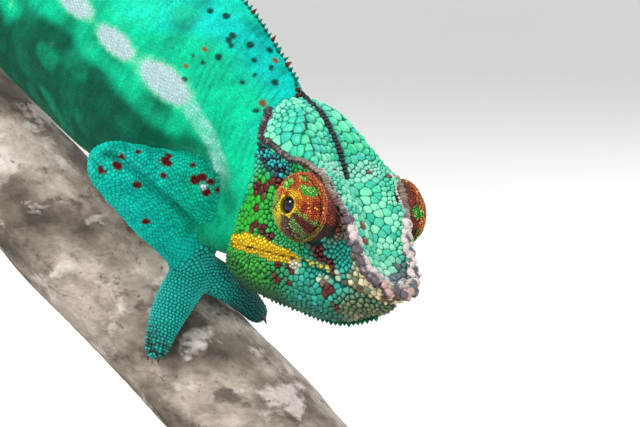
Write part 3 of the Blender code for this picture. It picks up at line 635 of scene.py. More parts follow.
def body_tone(points):
    w = in_walk(points)
    s, h = w[:, 0], w[:, 2]
    stations = (-152, -140, -122, -100, -75, -50, -30, -14)
    top = np.interp(s, stations, (51.5, 57.5, 66, 72.5, 75.5, 75, 72.8, 69))
    low = np.interp(s, stations, (30.5, 26.5, 21.5, 18.5, 18, 19, 22, 27))
    level = (h - low) / (top - low)
    cloud, fine = waves(w, 19, 21), waves(w, 7, 26)
    tone = paint(
        filled(FLANK, len(points)),
        ((0.002, 0.54, 0.49), step(level + 0.10 * cloud, 0.70, 0.90) * 0.9),
        ((0.002, 0.22, 0.18), step(waves(w, 15, 22) + 0.3 * fine, 0.5, 1.3) * step(level, 0.5, 0.7) * 0.6),
        ((0.012, 0.70, 0.36), step(cloud + 0.3 * fine, 0.2, 1.2) * 0.6 * step(level, 0.45, 0.6)),
    )
    dark = fall(level + 0.06 * waves(w, 13, 27) + 0.04 * fine - 0.07 * step(s, -75, -50), 0.35, 0.52)
    dark *= 1 - 0.8 * step(s, -27, -17)
    tone = paint(
        tone,
        (LOW_FLANK, dark * 0.95),
        ((0.002, 0.24, 0.12), dark * step(waves(w * (0.6, 1, 1.4), 9, 28), 0.3, 1.2) * 0.7),
    )
    # dark lines in the fine pleats of the neck, a painted shade in their creases
    pleat = np.sin(3.6 * s + 1.3 * h + 1.5 * waves(w, 14, 38)) * step(waves(w, 12, 39), -0.3, 0.6)
    tone = paint(tone, ((0.001, 0.20, 0.14), step(pleat, 0.1, 0.9) * 0.42 * step(s, -42, -32) * step(level, 0.35, 0.5)))
    bars = np.sin((s + 0.22 * h) * TAU / 17.5 + 0.8 * waves(w, 30, 29))
    flecks = step(waves(w, 8, 30) + 0.3 * fine, 1.2, 1.7) * step(level, 0.3, 0.5) * fall(s, -62, -54)
    tone = paint(
        tone,
        ((0.003, 0.17, 0.10), step(bars, 0.35, 0.95) * 0.38 * fall(s, -40, -26)),
        ((0.22, 0.70, 0.30), flecks * 0.75),
        (BELLY, fall(level, 0.02, 0.16) * 0.5),
    )
    mottle = waves(w * (1.5, 1, 0.8), 5.5, 42) + 0.7 * waves(w * (1.6, 1, 0.8), 2.8, 43)
    tone *= (1 + 0.13 * np.clip(mottle, -1.6, 1.4))[:, None]
    grain = waves(w, 2.2, 31)
    for station, height, size in BLOBS:
        off = h - height - 0.05 * (s - station)
        away = np.hypot((s - station) / size, off / (0.36 * size + 0.45)) + 0.05 * grain
        tone = paint(
            tone,
            ((0.20, 0.70, 0.42), fall(away, 0.95, 1.3) * 0.5),
            (LAVENDER, fall(away, 0.8, 1.05) * 0.92),
        )
    # dark green along the fold behind each shoulder, a painted shade in the crease
    tone = paint(tone, ((0.001, 0.13, 0.07), shoulder_fold(w) * 0.75))
    streak = np.abs(h - np.interp(s, (-30, -22.8, -16.6, -10.4), (52.9, 50.9, 47.4, 45.4)))
    broken = 0.4 + 0.35 * step(waves(w * (0.5, 1, 1), 2.4, 25), -0.4, 0.8)
    streak = fall(streak, 1.3, 2.6) * step(s, -31, -28) * broken * fall(s, -18, -9)
    tone = paint(tone, ((0.30, 0.68, 0.62), streak))
    rough = on_one_side(w) + 0.16 * grain[:, None]
    tone = paint_spots(tone, rough, NECK_SPOTS, (0.003, 0.03, 0.02), lambda a: (a, a, a * 0.85), 0.25, 0.95)
    return paint_spots(tone, rough, RUSTY_SPOTS, (0.20, 0.07, 0.008), lambda a: (a, a, a * 0.8), 0.3, 0.95)


def limb_tone(points, owners):
    w = in_walk(points)
    tone = paint(
        filled(TURQUOISE, len(points)),
        ((0.008, 0.66, 0.56), step(waves(w, 13, 31), 0.0, 1.1) * 0.5),
        (TEAL, step(waves(w, 10, 32) + 0.3 * waves(w, 4, 35), 0.3, 1.4) * 0.6),
    )
    for way in LIMB_WAYS.values():
        root = np.linalg.norm(w - np.array(way[1]), axis=1)
        tone = paint(tone, ((0.002, 0.47, 0.28), fall(root, 6, 14) * 0.8))
    wrist = np.min([np.linalg.norm(w - np.array(way[3]), axis=1) for way in LIMB_WAYS.values()], axis=0)
    # dark lines in the wrinkles round the wrists, a painted shade in their creases
    wrinkle = np.sin(3.4 * wrist + 1.4 * waves(w, 6, 46))
    tone = paint(tone, ((0.001, 0.20, 0.16), step(wrinkle, 0.1, 0.9) * step(waves(w, 9, 47), -0.8, 0.4) * 0.42))
    mottle = waves(w, 4.4, 44) + 0.7 * waves(w, 2.3, 45)
    tone *= (1 + 0.12 * np.clip(mottle, -1.6, 1.4))[:, None]
    # dark green along the fold behind each shoulder, a painted shade in the crease
    tone = paint(tone, ((0.001, 0.13, 0.07), shoulder_fold(w) * 0.75))
    # dark teal along the crease between upper arm and forearm, a painted shade
    fold = way_distance(w, smooth_way(ARM_FOLD, 0.4))
    own = starts(owners, "arm_right")
    tone = paint(tone, ((0.002, 0.10, 0.07), own * hump(fold, 1.0) * 0.85))
    rough = w + 0.22 * waves(w, 2.0, 36)[:, None]
    tone = paint_spots(tone, rough, ARM_SPOTS, (0.10, 0.006, 0.006), lambda a: (a * 0.95,) * 3, 0.22)
    blot = waves(w, 3.6, 33) + 0.6 * waves(w, 2.3, 34)
    upper = ~own & np.char.endswith(owners, "upper")
    tone = paint(
        tone,
        ((0.10, 0.006, 0.006), step(blot, 1.45, 1.65) * upper),
        ((0.62, 0.66, 0.70), spot(w, (-13.6, -15.5, 42.6), (0.75, 0.75, 0.75), 0.3)),
    )
    grip = starts(owners, *PAWS)
    tone = paint(tone, ((0.003, 0.38, 0.33), np.maximum(grip, fall(wrist, 4, 13)) * 0.8))
    turn = np.degrees(np.arctan2(np.abs(w[:, 1]), w[:, 2])) * np.sign(w[:, 1])
    # toes on the inner side darkened, a painted shade
    within = w[:, 1] * np.where(np.char.endswith(owners, "right"), -1, 1)
    tone = paint(tone, ((0.002, 0.065, 0.055), grip * fall(within + 0.5 * waves(w, 3, 40), -3.5, 4.5) * 0.85))
    tip = grip * step(np.abs(turn), 50, 72) * step(waves(w, 1.6, 37), -0.9, 0.5)
    tone = paint(tone, ((0.022, 0.022, 0.016), tip * 0.92))
    # paws darkened where they lie close against the bark, a painted contact shadow
    bark = np.hypot(w[:, 1], w[:, 2]) - BRANCH_RADIUS
    return paint(tone, (DEEP_TEAL, grip * fall(bark, 0.2, 2.6) * 0.75))


def tail_tone(points, run):
    w = in_walk(points)
    tone = filled((0.005, 0.50, 0.30), len(points))
    bars = np.sin(run * TAU / 15 + 0.4 * waves(w, 12, 41))
    return paint(
        tone,
        ((0.004, 0.16, 0.12), step(bars, 0.1, 0.7) * 0.75),
        ((0.03, 0.62, 0.50), fall(bars, -1.0, -0.55) * 0.5),
        ((0.12, 0.10, 0.06), step(run, 190, 260) * 0.25),
    )


def head_tone(points, chance):
    """Colours of the head. Chance is one random number from 0 to 1 for each scale."""
    q = in_head(points)
    x, y, z = q[:, 0], np.abs(q[:, 1]), q[:, 2]
    out = np.column_stack([x, y, z])
    roof = on_roof(q)
    level = lip_level(q)
    count = len(points)
    side = paint(
        filled((0.02, 0.40, 0.12), count),
        (LEAF, fall(x, -12, 0)),
        ((0.008, 0.34, 0.25), step(x, 0, 8)),
        ((0.02, 0.42, 0.36), step(x, 4, 16) * (chance > 0.55)),
    )
    behind = fall(x, -12.5, -8.5)
    temple = behind * step(z, -1.0, 2.2)
    side = paint(
        side,
        (CYAN, temple),
        (INK, temple * (np.abs(chance - 0.5) < 0.24)),
        ((0.05, 0.45, 0.30), fall(x, -20, -16) * (1 - temple)),
    )
    under = fall(level, -4.2, -1.2)
    side = paint(
        side,
        (JAW_GREEN, under * fall(x, -2, 8) * 0.9),
        ((0.01, 0.26, 0.17), under * step(x, -2, 8) * 0.9),
        ((0.03, 0.36, 0.03), spot(out, (-8, 10, -17.5), (6, 12, 3.5)) * (chance > 0.3) * 0.9),
    )
    keel_z = np.interp(x, *np.array(KEEL)[:, [0, 2]].T)
    side = paint(side, ((0.003, 0.05, 0.024), fall(z - keel_z, 1.0, 6.5) * 0.9))
    chin = step(x, 14, 19)
    side = paint(
        side,
        (OLIVE, chin * fall(level, -1.0, 0.4) * 0.9),
        ((0.30, 0.26, 0.15), chin * fall(level, -7, -0.5) * (chance > 0.45) * 0.75),
        ((0.03, 0.035, 0.02), chin * fall(level, -8, -3) * (chance < 0.25) * 0.8),
        ((0.003, 0.17, 0.12), under * step(x, 0, 5) * (1 - chin) * (chance > 0.5) * 0.7),
        ((0.03, 0.46, 0.40), under * step(x, 2, 7) * (1 - chin) * (chance < 0.14) * 0.7),
    )
    front = step(x, 14.5, 17.0) * step(level, -0.3, 0.3)
    side = paint(
        side,
        ((0.16, 0.15, 0.09), front * 0.8),
        (CREAM, front * (chance > 0.30) * (0.55 + 0.45 * chance)),
        ((0.10, 0.03, 0.02), front * (chance < 0.16) * 0.9),
    )
    wide = np.interp(x, (-14.5, -12, -8, -3, 1.5, 4.0), (1.9, 3.4, 3.1, 2.3, 1.6, 0.9))
    drop = np.interp(x, (-14.5, -12, -8, -3, 1.5, 4.0), (0.5, 1.2, 1.5, 1.9, 1.5, 0.9))
    lips = (level < wide) & (level > -drop) & (x > -15.4) & (x < 3.6) & (y > 6)
    side = paint(
        side,
        (YELLOW, lips),
        ((0.46, 0.30, 0.01), lips * (level < 0) * 0.5),
        # a thin dark line along the mouth, a painted shade in its slit
        ((0.05, 0.025, 0.004), fall(np.abs(level), 0.05, 0.2) * (y > 4)),
    )
    side = paint_spots(side, out, CHEEK_SPOTS, BLOOD, lambda a: (a * 0.98, 3, a * 1.15), 0.15, ~lips)
    side = paint_spots(side, out, YELLOW_BEADS, (0.72, 0.60, 0.08), lambda a: (a, 3, a * 0.8))
    side = paint_spots(side, out, WHITE_BEADS, (0.62, 0.72, 0.60), lambda a: (a, 3, a), amount=0.85)
    orbit = np.linalg.norm((out - np.array(EYE_PLACE)) * (1, 0.6, 1), axis=1)
    side = paint(
        side,
        (RED_SKIN, fall(orbit, 8.4, 9.4) * step(z, -3, 3) * 0.9),
        (BROWN, fall(orbit, 8.2, 9.0) * fall(z, -4, -1) * 0.7),
    )
    top = paint(
        filled(MINT, count),
        ((0.03, 0.56, 0.46), (chance < 0.30) * 0.7),
        ((0.20, 0.80, 0.42), (chance > 0.74) * 0.5),
        (PALE_MINT, np.clip(step(-x, 15, 27) * 0.62 + 0.3 * (chance - 0.55), 0, 1)),
        (EMERALD, spot(out, (-9.5, 5.5, 12), (6, 5, 6), 0.6) * 0.75 * (chance > 0.2)),
        ((0.09, 0.64, 0.40), step(x, -6, -1) * 0.8),
        ((0.02, 0.50, 0.36), (np.abs(chance - 0.3) < 0.14) * 0.6),
        ((0.30, 0.76, 0.50), step(x, -3, 6) * step(chance, 0.45, 0.6) * 0.75),
        ((0.40, 0.78, 0.62), spot(out, (-4, 4.5, 9), (2.6, 4.5, 5), 0.5) * 0.7),
        ((0.42, 0.56, 0.52), step(x, 16.5, 20.5) * 0.8),
        ((0.50, 0.45, 0.46), step(x, 18.5, 21.5) * 0.85),
        ((0.06, 0.09, 0.11), step(x, 15, 18) * step(waves(q, 4.2, 83) + 0.35 * q[:, 1], 0.5, 0.9) * 0.9),
        ((0.01, 0.30, 0.28), fall(y, 0.8, 2.4) * fall(x, -8, -4) * 0.8),
        ((0.02, 0.30, 0.26), step(y - crest_at(x)[1], -2.4, -1.2) * step(x, 0, 6) * (chance > 0.4) * 0.6),
        ((0.17, 0.016, 0.012), (chance > 0.982) * step(x, -22, -16) * fall(x, 14, 16) * 0.95),
    )
    return side * (1 - roof)[:, None] + top * roof[:, None]


def tone_of(points, owners, chance):
    """Linear colours at places on the skin, for the skin and the scales alike."""
    tail = starts(owners, "tail")
    head = starts(owners, *FACE)
    body = starts(owners, *BODY)
    limb = ~(body | head)
    tone = np.zeros((len(points), 3))
    tone[head] = head_tone(points[head], chance[head])
    tone[body] = body_tone(points[body])
    tone[limb] = limb_tone(points[limb], owners[limb])
    run = tail_run(points[tail])
    start = step(run, 0, 22)[:, None]
    tone[tail] = tail_tone(points[tail], run) * start + tone[tail] * (1 - start)
    nape = (owners == "neck") * step(in_head(points)[:, 0], -22, -15)
    tone = paint(tone, ((0.004, 0.42, 0.22), nape * 0.6))
    return np.clip(tone * (0.88 + 0.24 * chance)[:, None], 0.001, 0.95)


def tail_run(points):
    """Millimetres down the tail from the pelvis."""
    return np.array([float(WAY_TREE.find(p)[1]) for p in points]) - PELVIS


# The scales ----------

SUNK = 0.08  # how far a scale's foot lies under the skin
PATCH = 0.0015  # half the width of a scale's patch on its unwrap
LIP_GAP = 0.2  # how far the scales of each lip keep back from the other lip's
# painted shade: each scale's tone is darkened toward its foot, down in the grooves round it
GROOVE_SHADES = {  # what is left of each scale's tone down in the grooves round it
    "body": (0.80, 0.86, 0.87), "face": (0.05, 0.13, 0.15), "roof": (0.10, 0.50, 0.52), "casque": (0.02, 0.36, 0.38),
    "limb": (0.24, 0.40, 0.43), "paw": (0.08, 0.18, 0.20), "spike": (0.22, 0.20, 0.20), "yellow": (0.74, 0.62, 0.4),
    "crest": (0.24, 0.18, 0.19), "turret": (0.40, 0.32, 0.3),
}
# painted shade: how far the skin that shows between the scales is darkened
SKIN_SHADES = {  # the same for the skin that shows between them
    "body": (0.80, 0.85, 0.86), "limb": (0.42, 0.56, 0.58), "paw": (0.18, 0.32, 0.34), "face": (0.08, 0.22, 0.25),
    "yellow": (0.5, 0.36, 0.2),
}
FACING = 0.12  # neighbours farther off a direction than this, as a cosine, don't bound a scale there


def shades(table, count, *parts):
    """The body's shade for every point, then another for each of the parts, given as its points and name."""
    shade = filled(table["body"], count)
    for own, name in parts:
        shade[own] = table[name]
    return shade


def unwrap(points, owners):
    """A place for each point on a flat unwrap of the skin: along a part's axis, and round it."""
    parts = ["body", "head", *LIMB_WAYS]
    flat = np.zeros((len(points), 2))
    for n, part in enumerate(parts):
        if part == "body":
            own = starts(owners, *BODY)
            way = WAY_POINTS
        elif part == "head":
            own = starts(owners, *FACE)
            way = moved(smooth_way(((-30, 0, -6), (0, 0, -6), (27, 0, -6)), 1.0), HEAD)
        else:
            own = starts(owners, part) | (owners == paw_of(part))
            way = moved(smooth_way(LIMB_WAYS[part], 1.0), WALK)
        if not own.any():
            continue
        tree = kd_tree(way)
        near = np.array([tree.find(p)[1] for p in points[own]])
        along = unit(np.gradient(way, axis=0))[near]
        out = points[own] - way[near]
        side = unit(np.cross(along, (0.12, 0.9, 0.41)))
        turn = np.arctan2((out * side).sum(1), (out * np.cross(along, side)).sum(1)) / TAU + 0.5
        tall = 0.5 if part == "body" else 0.1
        low = 0.0 if part == "body" else 0.5 + 0.1 * (n - 1)
        flat[own] = np.column_stack([0.01 + 0.98 * near / len(way), low + 0.01 + (tall - 0.02) * turn])
    return flat


def cell_reach(points, normals, along, sizes, groups, corners, own):
    """How far each scale reaches in each of its directions: up to halfway to its neighbours."""
    tree = kd_tree(points)
    near = np.array([[f[1] for f in tree.find_n(p, 12)[1:]] for p in points[own]])
    sides = np.cross(normals[own], along[own])
    offset = points[near] - points[own][:, None]
    length = np.linalg.norm(offset, axis=2)
    x = np.einsum("nki,ni->nk", offset, along[own])
    y = np.einsum("nki,ni->nk", offset, sides)
    flat = np.maximum(np.hypot(x, y), 1e-6)
    share = sizes[own][:, None] / (sizes[own][:, None] + sizes[near])
    border = length * share - np.where(groups[near] * groups[own][:, None] == 2, LIP_GAP, 0.0)
    angle = TAU * (np.arange(corners) + 0.5) / corners
    facing = (x / flat)[:, None] * np.cos(angle)[None, :, None] + (y / flat)[:, None] * np.sin(angle)[None, :, None]
    reach = np.where(facing > FACING, border[:, None] / np.maximum(facing, FACING), 99).min(axis=2)
    return np.clip(reach, 0.12, 1.3 * sizes[own][:, None]), np.tile(angle, (len(own), 1))


def dome_meshes(seeds, corners, rings, squeeze, surface):
    """Corners, triangles and per-corner values of raised scales on a surface.

    Seeds hold places, normals, directions, angles, reaches, heights and flat places. Rings are pairs of
    how far out and how high, from the surface's own level to the middle of the scale.
    """
    p, n, t = seeds["place"], seeds["normal"], seeds["along"]
    b = np.cross(n, t)
    count = len(p)
    angle, reach, height = seeds["angle"], seeds["reach"] * squeeze, seeds["height"]
    fan = t[:, None] * np.cos(angle)[..., None] + b[:, None] * np.sin(angle)[..., None]
    foot = p[:, None] + fan * reach[:, :, None]
    foot = onto(surface, foot.reshape(-1, 3))[0].reshape(count, corners, 3) - n[:, None] * SUNK
    rings = ((1.0, 0.0), *rings)
    layers = [p[:, None] * (1 - out) + foot * out + n[:, None] * (height * up)[:, None, None] for out, up in rings]
    points = np.concatenate([*layers, (p + n * height[:, None])[:, None]], axis=1)
    per = points.shape[1]
    spread, rise = (np.append(np.repeat(values, corners), top) for values, top in zip(zip(*rings), (0.0, 1.0)))
    rim = per - 1 - corners + np.arange(corners)
    cap = np.column_stack([rim, np.roll(rim, -1), np.full(corners, per - 1)])
    tris = np.vstack([tube_quads(len(rings), corners)[:, [0, 1, 2, 0, 2, 3]].reshape(-1, 3), cap])
    turn = np.append(np.tile(angle[0], len(rings)), 0.0)
    patch = seeds["flat"][:, None] + PATCH * spread[:, None] * np.column_stack([np.cos(turn), np.sin(turn)])
    return {
        "points": points.reshape(-1, 3),
        "faces": (tris[None] + (np.arange(count) * per)[:, None, None]).reshape(-1, 3),
        "rise": np.tile(rise, count),
        "scale": np.repeat(np.arange(count), per),
        "flat": patch.reshape(-1, 2),
    }


def lit(tone, rise, groove_shade):
    """Each scale's tone at its top, sinking to a tinted painted shade down in the grooves round it."""
    share = step(rise, 0.0, 0.7)[:, None]
    return tone * (groove_shade + (1 - groove_shade) * share)


def add_mesh(name, points, faces, material, tone=None, rise=None, flat=None):
    """One smooth-shaded mesh object in metres, with its colour, its height over the skin and its unwrap."""
    faces = np.asarray(faces)
    corners = faces.shape[1]
    mesh = bpy.data.meshes.new(name)
    mesh.vertices.add(len(points))
    mesh.vertices.foreach_set("co", (np.asarray(points) * MM).astype(np.float32).ravel())
    mesh.loops.add(faces.size)
    mesh.loops.foreach_set("vertex_index", faces.astype(np.int32).ravel())
    mesh.polygons.add(len(faces))
    mesh.polygons.foreach_set("loop_start", np.arange(0, faces.size, corners, dtype=np.int32))
    mesh.polygons.foreach_set("use_smooth", np.ones(len(faces), bool))
    if tone is not None:
        layer = mesh.attributes.new("tone", "FLOAT_COLOR", "POINT")
        layer.data.foreach_set("color", np.column_stack([tone, np.ones(len(tone))]).astype(np.float32).ravel())
    if rise is not None:
        mesh.attributes.new("rise", "FLOAT", "POINT").data.foreach_set("value", rise.astype(np.float32))
    if flat is not None:
        layer = mesh.uv_layers.new(name="OFBake")
        layer.data.foreach_set("uv", flat[faces.ravel()].astype(np.float32).ravel())
    mesh.update(calc_edges=True)
    mesh.validate()
    mesh.materials.append(material)
    return placed(name, mesh)


# Materials ----------


class Nodes:
    """A material's node tree, with short ways to add to it. A value for a socket may be another node's output."""

    def __init__(self, name, **fixed):
        self.material = bpy.data.materials.get(name) or bpy.data.materials.new(name)
        self.material.use_nodes = True
        self.tree = self.material.node_tree
        self.tree.nodes.clear()
        self.shader = self.add("BsdfPrincipled", {k.replace("_", " "): v for k, v in fixed.items()})
        self.add("OutputMaterial", {0: self.shader.outputs[0]})

    def add(self, kind, inputs=(), **settings):
        node = self.tree.nodes.new("ShaderNode" + kind)
        for key, value in settings.items():
            setattr(node, key, value)
        self.fill(node, dict(inputs))
        return node

    def fill(self, node, inputs):
        for name, value in inputs.items():
            socket = node.inputs[name]
            if isinstance(value, bpy.types.NodeSocket):
                self.tree.links.new(value, socket)
            else:
                socket.default_value = (*value, 1) if socket.type == "RGBA" and len(value) == 3 else value

    def place(self):
        return self.add("TexCoord").outputs["Object"]

    def noise(self, scale, detail=3.0, rough=0.55, stretch=None, distort=0.0):
        place = self.place()
        if stretch:
            place = self.add("Mapping", {"Vector": place, "Scale": stretch[0], "Rotation": stretch[1]}).outputs[0]
        return self.add("TexNoise", {
            "Vector": place, "Scale": scale, "Detail": detail, "Roughness": rough, "Distortion": distort,
        }).outputs["Fac"]

    def cells(self, scale):
        return self.add("TexVoronoi", {"Vector": self.place(), "Scale": scale}).outputs["Distance"]

    def attribute(self, name, output="Color"):
        return self.add("Attribute", attribute_name=name).outputs[output]

    def ramp(self, value, *stops):
        node = self.add("ValToRGB", {0: value})
        elements = node.color_ramp.elements
        while len(elements) < len(stops):
            elements.new(0.5)
        for element, (at, colour) in zip(elements, stops):
            element.position = at
            element.color = (*colour, 1) if isinstance(colour, tuple) else (colour,) * 3 + (1,)
        return node.outputs[0]

    def mix(self, kind, amount, a, b):
        return self.add("Mix", {0: amount, 6: a, 7: b}, data_type="RGBA", blend_type=kind).outputs[2]

    def math(self, kind, a, b):
        return self.add("Math", {0: a, 1: b}, operation=kind).outputs[0]

    def span(self, value, low, high):
        return self.add("MapRange", {0: value, 3: low, 4: high}).outputs[0]

    def bump(self, height, distance, strength):
        return self.add("Bump", {"Height": height, "Distance": distance, "Strength": strength}).outputs[0]

    def finish(self, colour, rough, normal=None):
        self.fill(self.shader, {"Base Color": colour, "Roughness": rough})
        if normal is not None:
            self.fill(self.shader, {"Normal": normal})
        return self.material


def scale_material(name, low, high, shine):
    """Scales: their own tone with a fine grain and a soft sheen."""
    m = Nodes(name, Specular_IOR_Level=shine, Subsurface_Weight=0.04, Subsurface_Radius=(0.0006, 0.0008, 0.0006))
    mottle = m.ramp(m.noise(2600), (0.3, 0.80), (0.7, 1.14))
    colour = m.mix("MULTIPLY", 1.0, m.attribute("tone"), mottle)
    rough = m.span(m.noise(1800, 4), low, high)
    return m.finish(colour, rough, m.bump(m.noise(5200, 2), 0.00003, 0.5))


def skin_material():
    m = Nodes("skin_between_scales", Specular_IOR_Level=0.1)
    colour = m.mix("MULTIPLY", 1.0, m.attribute("tone"), m.ramp(m.noise(1400, 4), (0.3, 0.7), (0.7, 1.15)))
    return m.finish(colour, m.span(m.noise(900, 3), 0.5, 0.75), m.bump(m.cells(2400), 0.00008, 0.6))


def eyeball_material():
    m = Nodes("eyeball_glossy", Specular_IOR_Level=0.3, Coat_Weight=0.25, Coat_Roughness=0.05)
    colour = m.ramp(m.noise(1500, 3), (0.35, (0.002, 0.003, 0.007)), (0.7, (0.006, 0.008, 0.016)))
    return m.finish(colour, m.span(m.noise(700, 2), 0.05, 0.10))


def claw_material():
    m = Nodes("claw_horn", Specular_IOR_Level=0.6)
    grain = m.noise(900, 4, stretch=((1, 1, 3), (0, 0, 0)))
    colour = m.ramp(grain, (0.25, (0.010, 0.009, 0.007)), (0.75, (0.045, 0.038, 0.028)))
    return m.finish(colour, m.span(m.noise(1600, 3), 0.25, 0.45), m.bump(grain, 0.00004, 0.6))


def base_material():
    m = Nodes("base_finish", Specular_IOR_Level=0.4)
    grain = m.noise(38, 6, 0.6, stretch=((0.35, 6.0, 6.0), (0, 0, 0)), distort=0.6)
    fine = m.noise(420, 4, 0.6, stretch=((0.12, 3.0, 3.0), (0, 0, 0)))
    colour = m.ramp(grain, (0.25, (0.030, 0.020, 0.014)), (0.5, (0.062, 0.040, 0.026)), (0.75, (0.10, 0.066, 0.042)))
    colour = m.mix("MULTIPLY", 0.8, colour, m.ramp(fine, (0.3, 0.6), (0.6, 1.1)))
    return m.finish(colour, m.span(fine, 0.34, 0.52), m.bump(fine, 0.00006, 0.5))


def steel_material():
    m = Nodes("steel_brushed", Metallic=1.0)
    grain = m.noise(260, 3, 0.6, stretch=((6, 6, 0.3), (0, 0, 0)))
    colour = m.ramp(grain, (0.3, (0.50, 0.51, 0.53)), (0.7, (0.68, 0.69, 0.71)))
    return m.finish(colour, m.span(grain, 0.22, 0.36), m.bump(grain, 0.00002, 0.4))


def bark_material():
    m = Nodes("bark_grey", Specular_IOR_Level=0.3)
    tilt = (0, SLOPE, 0)
    broad = m.noise(55, 5, 0.6, stretch=((0.6, 1, 1), tilt))
    patch = m.noise(120, 4, 0.55, stretch=((0.7, 1, 1), tilt), distort=0.4)
    fine = m.noise(900, 5, 0.65, stretch=((0.5, 1, 1), tilt))
    crack = m.ramp(m.noise(310, 6, 0.7, stretch=((0.35, 1, 1), tilt), distort=0.8), (0.44, 0.0), (0.52, 1.0))
    colour = m.ramp(broad, (0.36, (0.055, 0.044, 0.033)), (0.48, (0.19, 0.155, 0.125)), (0.60, (0.44, 0.37, 0.32)))
    lichen = m.ramp(patch, (0.55, 0.0), (0.63, 1.0))
    colour = m.mix("MIX", m.math("MULTIPLY", lichen, 0.8), colour, (0.62, 0.55, 0.51))
    dark = m.ramp(m.noise(150, 6, 0.65, stretch=((0.6, 1, 1), tilt)), (0.36, 1.0), (0.44, 0.0))
    colour = m.mix("MIX", m.math("MULTIPLY", dark, 0.8), colour, (0.075, 0.055, 0.042))
    pits = m.ramp(m.noise(520, 3, 0.6), (0.30, 1.0), (0.36, 0.0))
    colour = m.mix("MIX", m.math("MULTIPLY", pits, 0.7), colour, (0.06, 0.045, 0.035))
    colour = m.mix("MULTIPLY", 0.45, colour, m.ramp(fine, (0.3, 0.55), (0.65, 1.2)))
    ends = m.mix("MIX", m.attribute("rise", "Fac"), colour, m.ramp(
        m.noise(700, 3, 0.5), (0.3, (0.40, 0.28, 0.16)), (0.7, (0.56, 0.42, 0.27))))
    height = m.math("ADD", m.math("MULTIPLY", fine, 0.5), m.math("MULTIPLY", crack, 0.35))
    return m.finish(ends, m.span(fine, 0.62, 0.88), m.bump(height, 0.0004, 0.7))


# Crests, and the seeds of all the scales ----------

PLAIN, RIDGE_KNOB, BACK_SPIKE, THROAT_CONE, LIP = range(5)
MARKS = {  # width and height of each special kind of scale
    RIDGE_KNOB: (1.15, 0.85), BACK_SPIKE: (1.15, 1.25), THROAT_CONE: (1.25, 1.05), LIP: (0.72, 0.08),
}
SPIKE_TONES = {RIDGE_KNOB: (0.022, 0.030, 0.030), BACK_SPIKE: (0.006, 0.20, 0.17), THROAT_CONE: (0.005, 0.10, 0.05)}
BACK_LINE = (
    (-13, -1.5, 68), (-18, 0, 70.5), (-30, 0, 73), (-50, 0, 75.2), (-75, 0, 75.7), (-100, 0, 72.7),
    (-122, 0, 66.2), (-140, 0, 57.7), (-152, 0, 51.7), (-160, -0.6, 49.5),
)


def spike_rows():
    """Seeds of the pointed scales along the crown, the back and the throat."""
    return [
        (moved(smooth_way(RIDGE, 0.95), HEAD), RIDGE_KNOB),
        (moved(smooth_way(BACK_LINE, 1.35), WALK), BACK_SPIKE),
        (moved(smooth_way(KEEL, 1.4), HEAD), THROAT_CONE),
    ]


def spike_tone(kinds, chance):
    """Colours of the pointed scales: near black on the crown, teal and red-brown on the back, green below."""
    tone = np.zeros((len(kinds), 3))
    for kind, colour in SPIKE_TONES.items():
        tone[kinds == kind] = colour
    tone[(kinds == BACK_SPIKE) & (chance > 0.72)] = (0.12, 0.03, 0.02)
    return tone * (0.7 + 0.6 * chance)[:, None]


CREST_BANDS = (  # part of the crest, pitch, shift outward and up, half sizes along, across and up, jitter
    ("brow", 0.54, 0.0, 0.1, (0.38, 1.15, 0.60), 0.10),
    ("brow", 0.72, -1.15, 0.25, (0.40, 0.34, 0.36), 0.05),
    ("brow", 0.90, 0.85, -0.85, (0.50, 0.48, 0.45), 0.10),
    ("snout", 1.60, 0.35, 0.20, (1.15, 1.25, 1.05), 0.40),
    ("snout", 1.20, -0.95, 0.25, (0.85, 0.80, 0.60), 0.30),
    ("snout", 1.25, 1.05, -1.05, (0.80, 0.75, 0.66), 0.30),
)


def band_tone(part, row, q, high, chance):
    """Colours of the crests' knobs: grey-brown over the eyes, marbled pink, cream and slate on the snout."""
    x = q[:, 0]
    patch = waves(q, 2.9, 81) + 0.5 * waves(q, 1.5, 84) + 0.9 * (chance - 0.5)
    if part == "snout":
        tone = filled((0.66, 0.54, 0.53), len(q))
        # slate marbling, real colour, made likelier low on each knob and rarer at its top: painted shade below, painted
        # highlight on top
        slate = step(patch + (0.55, -0.6, 1.1)[row] - 0.9 * (high - 0.6), 0.0, 0.5)
        return paint(
            tone,
            ((0.055, 0.045, 0.07) if row < 2 else (0.06, 0.035, 0.025), slate * 0.92),
            ((0.05, 0.10, 0.11), slate * (q[:, 1] > 0) * 0.6),
            ((0.44, 0.22, 0.17), step(x, 21, 23.5) * (1 - slate) * 0.7),
        )
    if row == 0:
        tone = filled((0.25, 0.20, 0.155), len(q))
        return paint(
            tone,
            ((0.12, 0.08, 0.075), step(x, 3, 7) * 0.8),
            ((0.045, 0.032, 0.045), fall(x, -11.5, -8)),
            ((0.42, 0.37, 0.36), step(patch, 0.7, 1.2) * 0.5),
        )
    if row == 1:
        tone = filled((0.58, 0.49, 0.49), len(q))
        return paint(
            tone,
            ((0.12, 0.10, 0.11), fall(x, -12, -7) * 0.85),
            ((0.20, 0.14, 0.14), step(patch, 0.3, 0.7) * 0.8),
        )
    tone = filled((0.05, 0.03, 0.035), len(q))
    return paint(tone, ((0.22, 0.035, 0.015), step(x, -9, -5) * fall(x, 6, 9) * 0.85))


def arrays_of(bm):
    """The corners and triangles of a bmesh, which is freed."""
    arrays = np.array([v.co[:] for v in bm.verts]), np.array([[v.index for v in f.verts] for f in bm.faces])
    bm.free()
    return arrays


def ball(level):
    """Corners and triangles of a round unit ball."""
    bm = bmesh.new()
    bmesh.ops.create_icosphere(bm, subdivisions=level, radius=1.0)
    return arrays_of(bm)


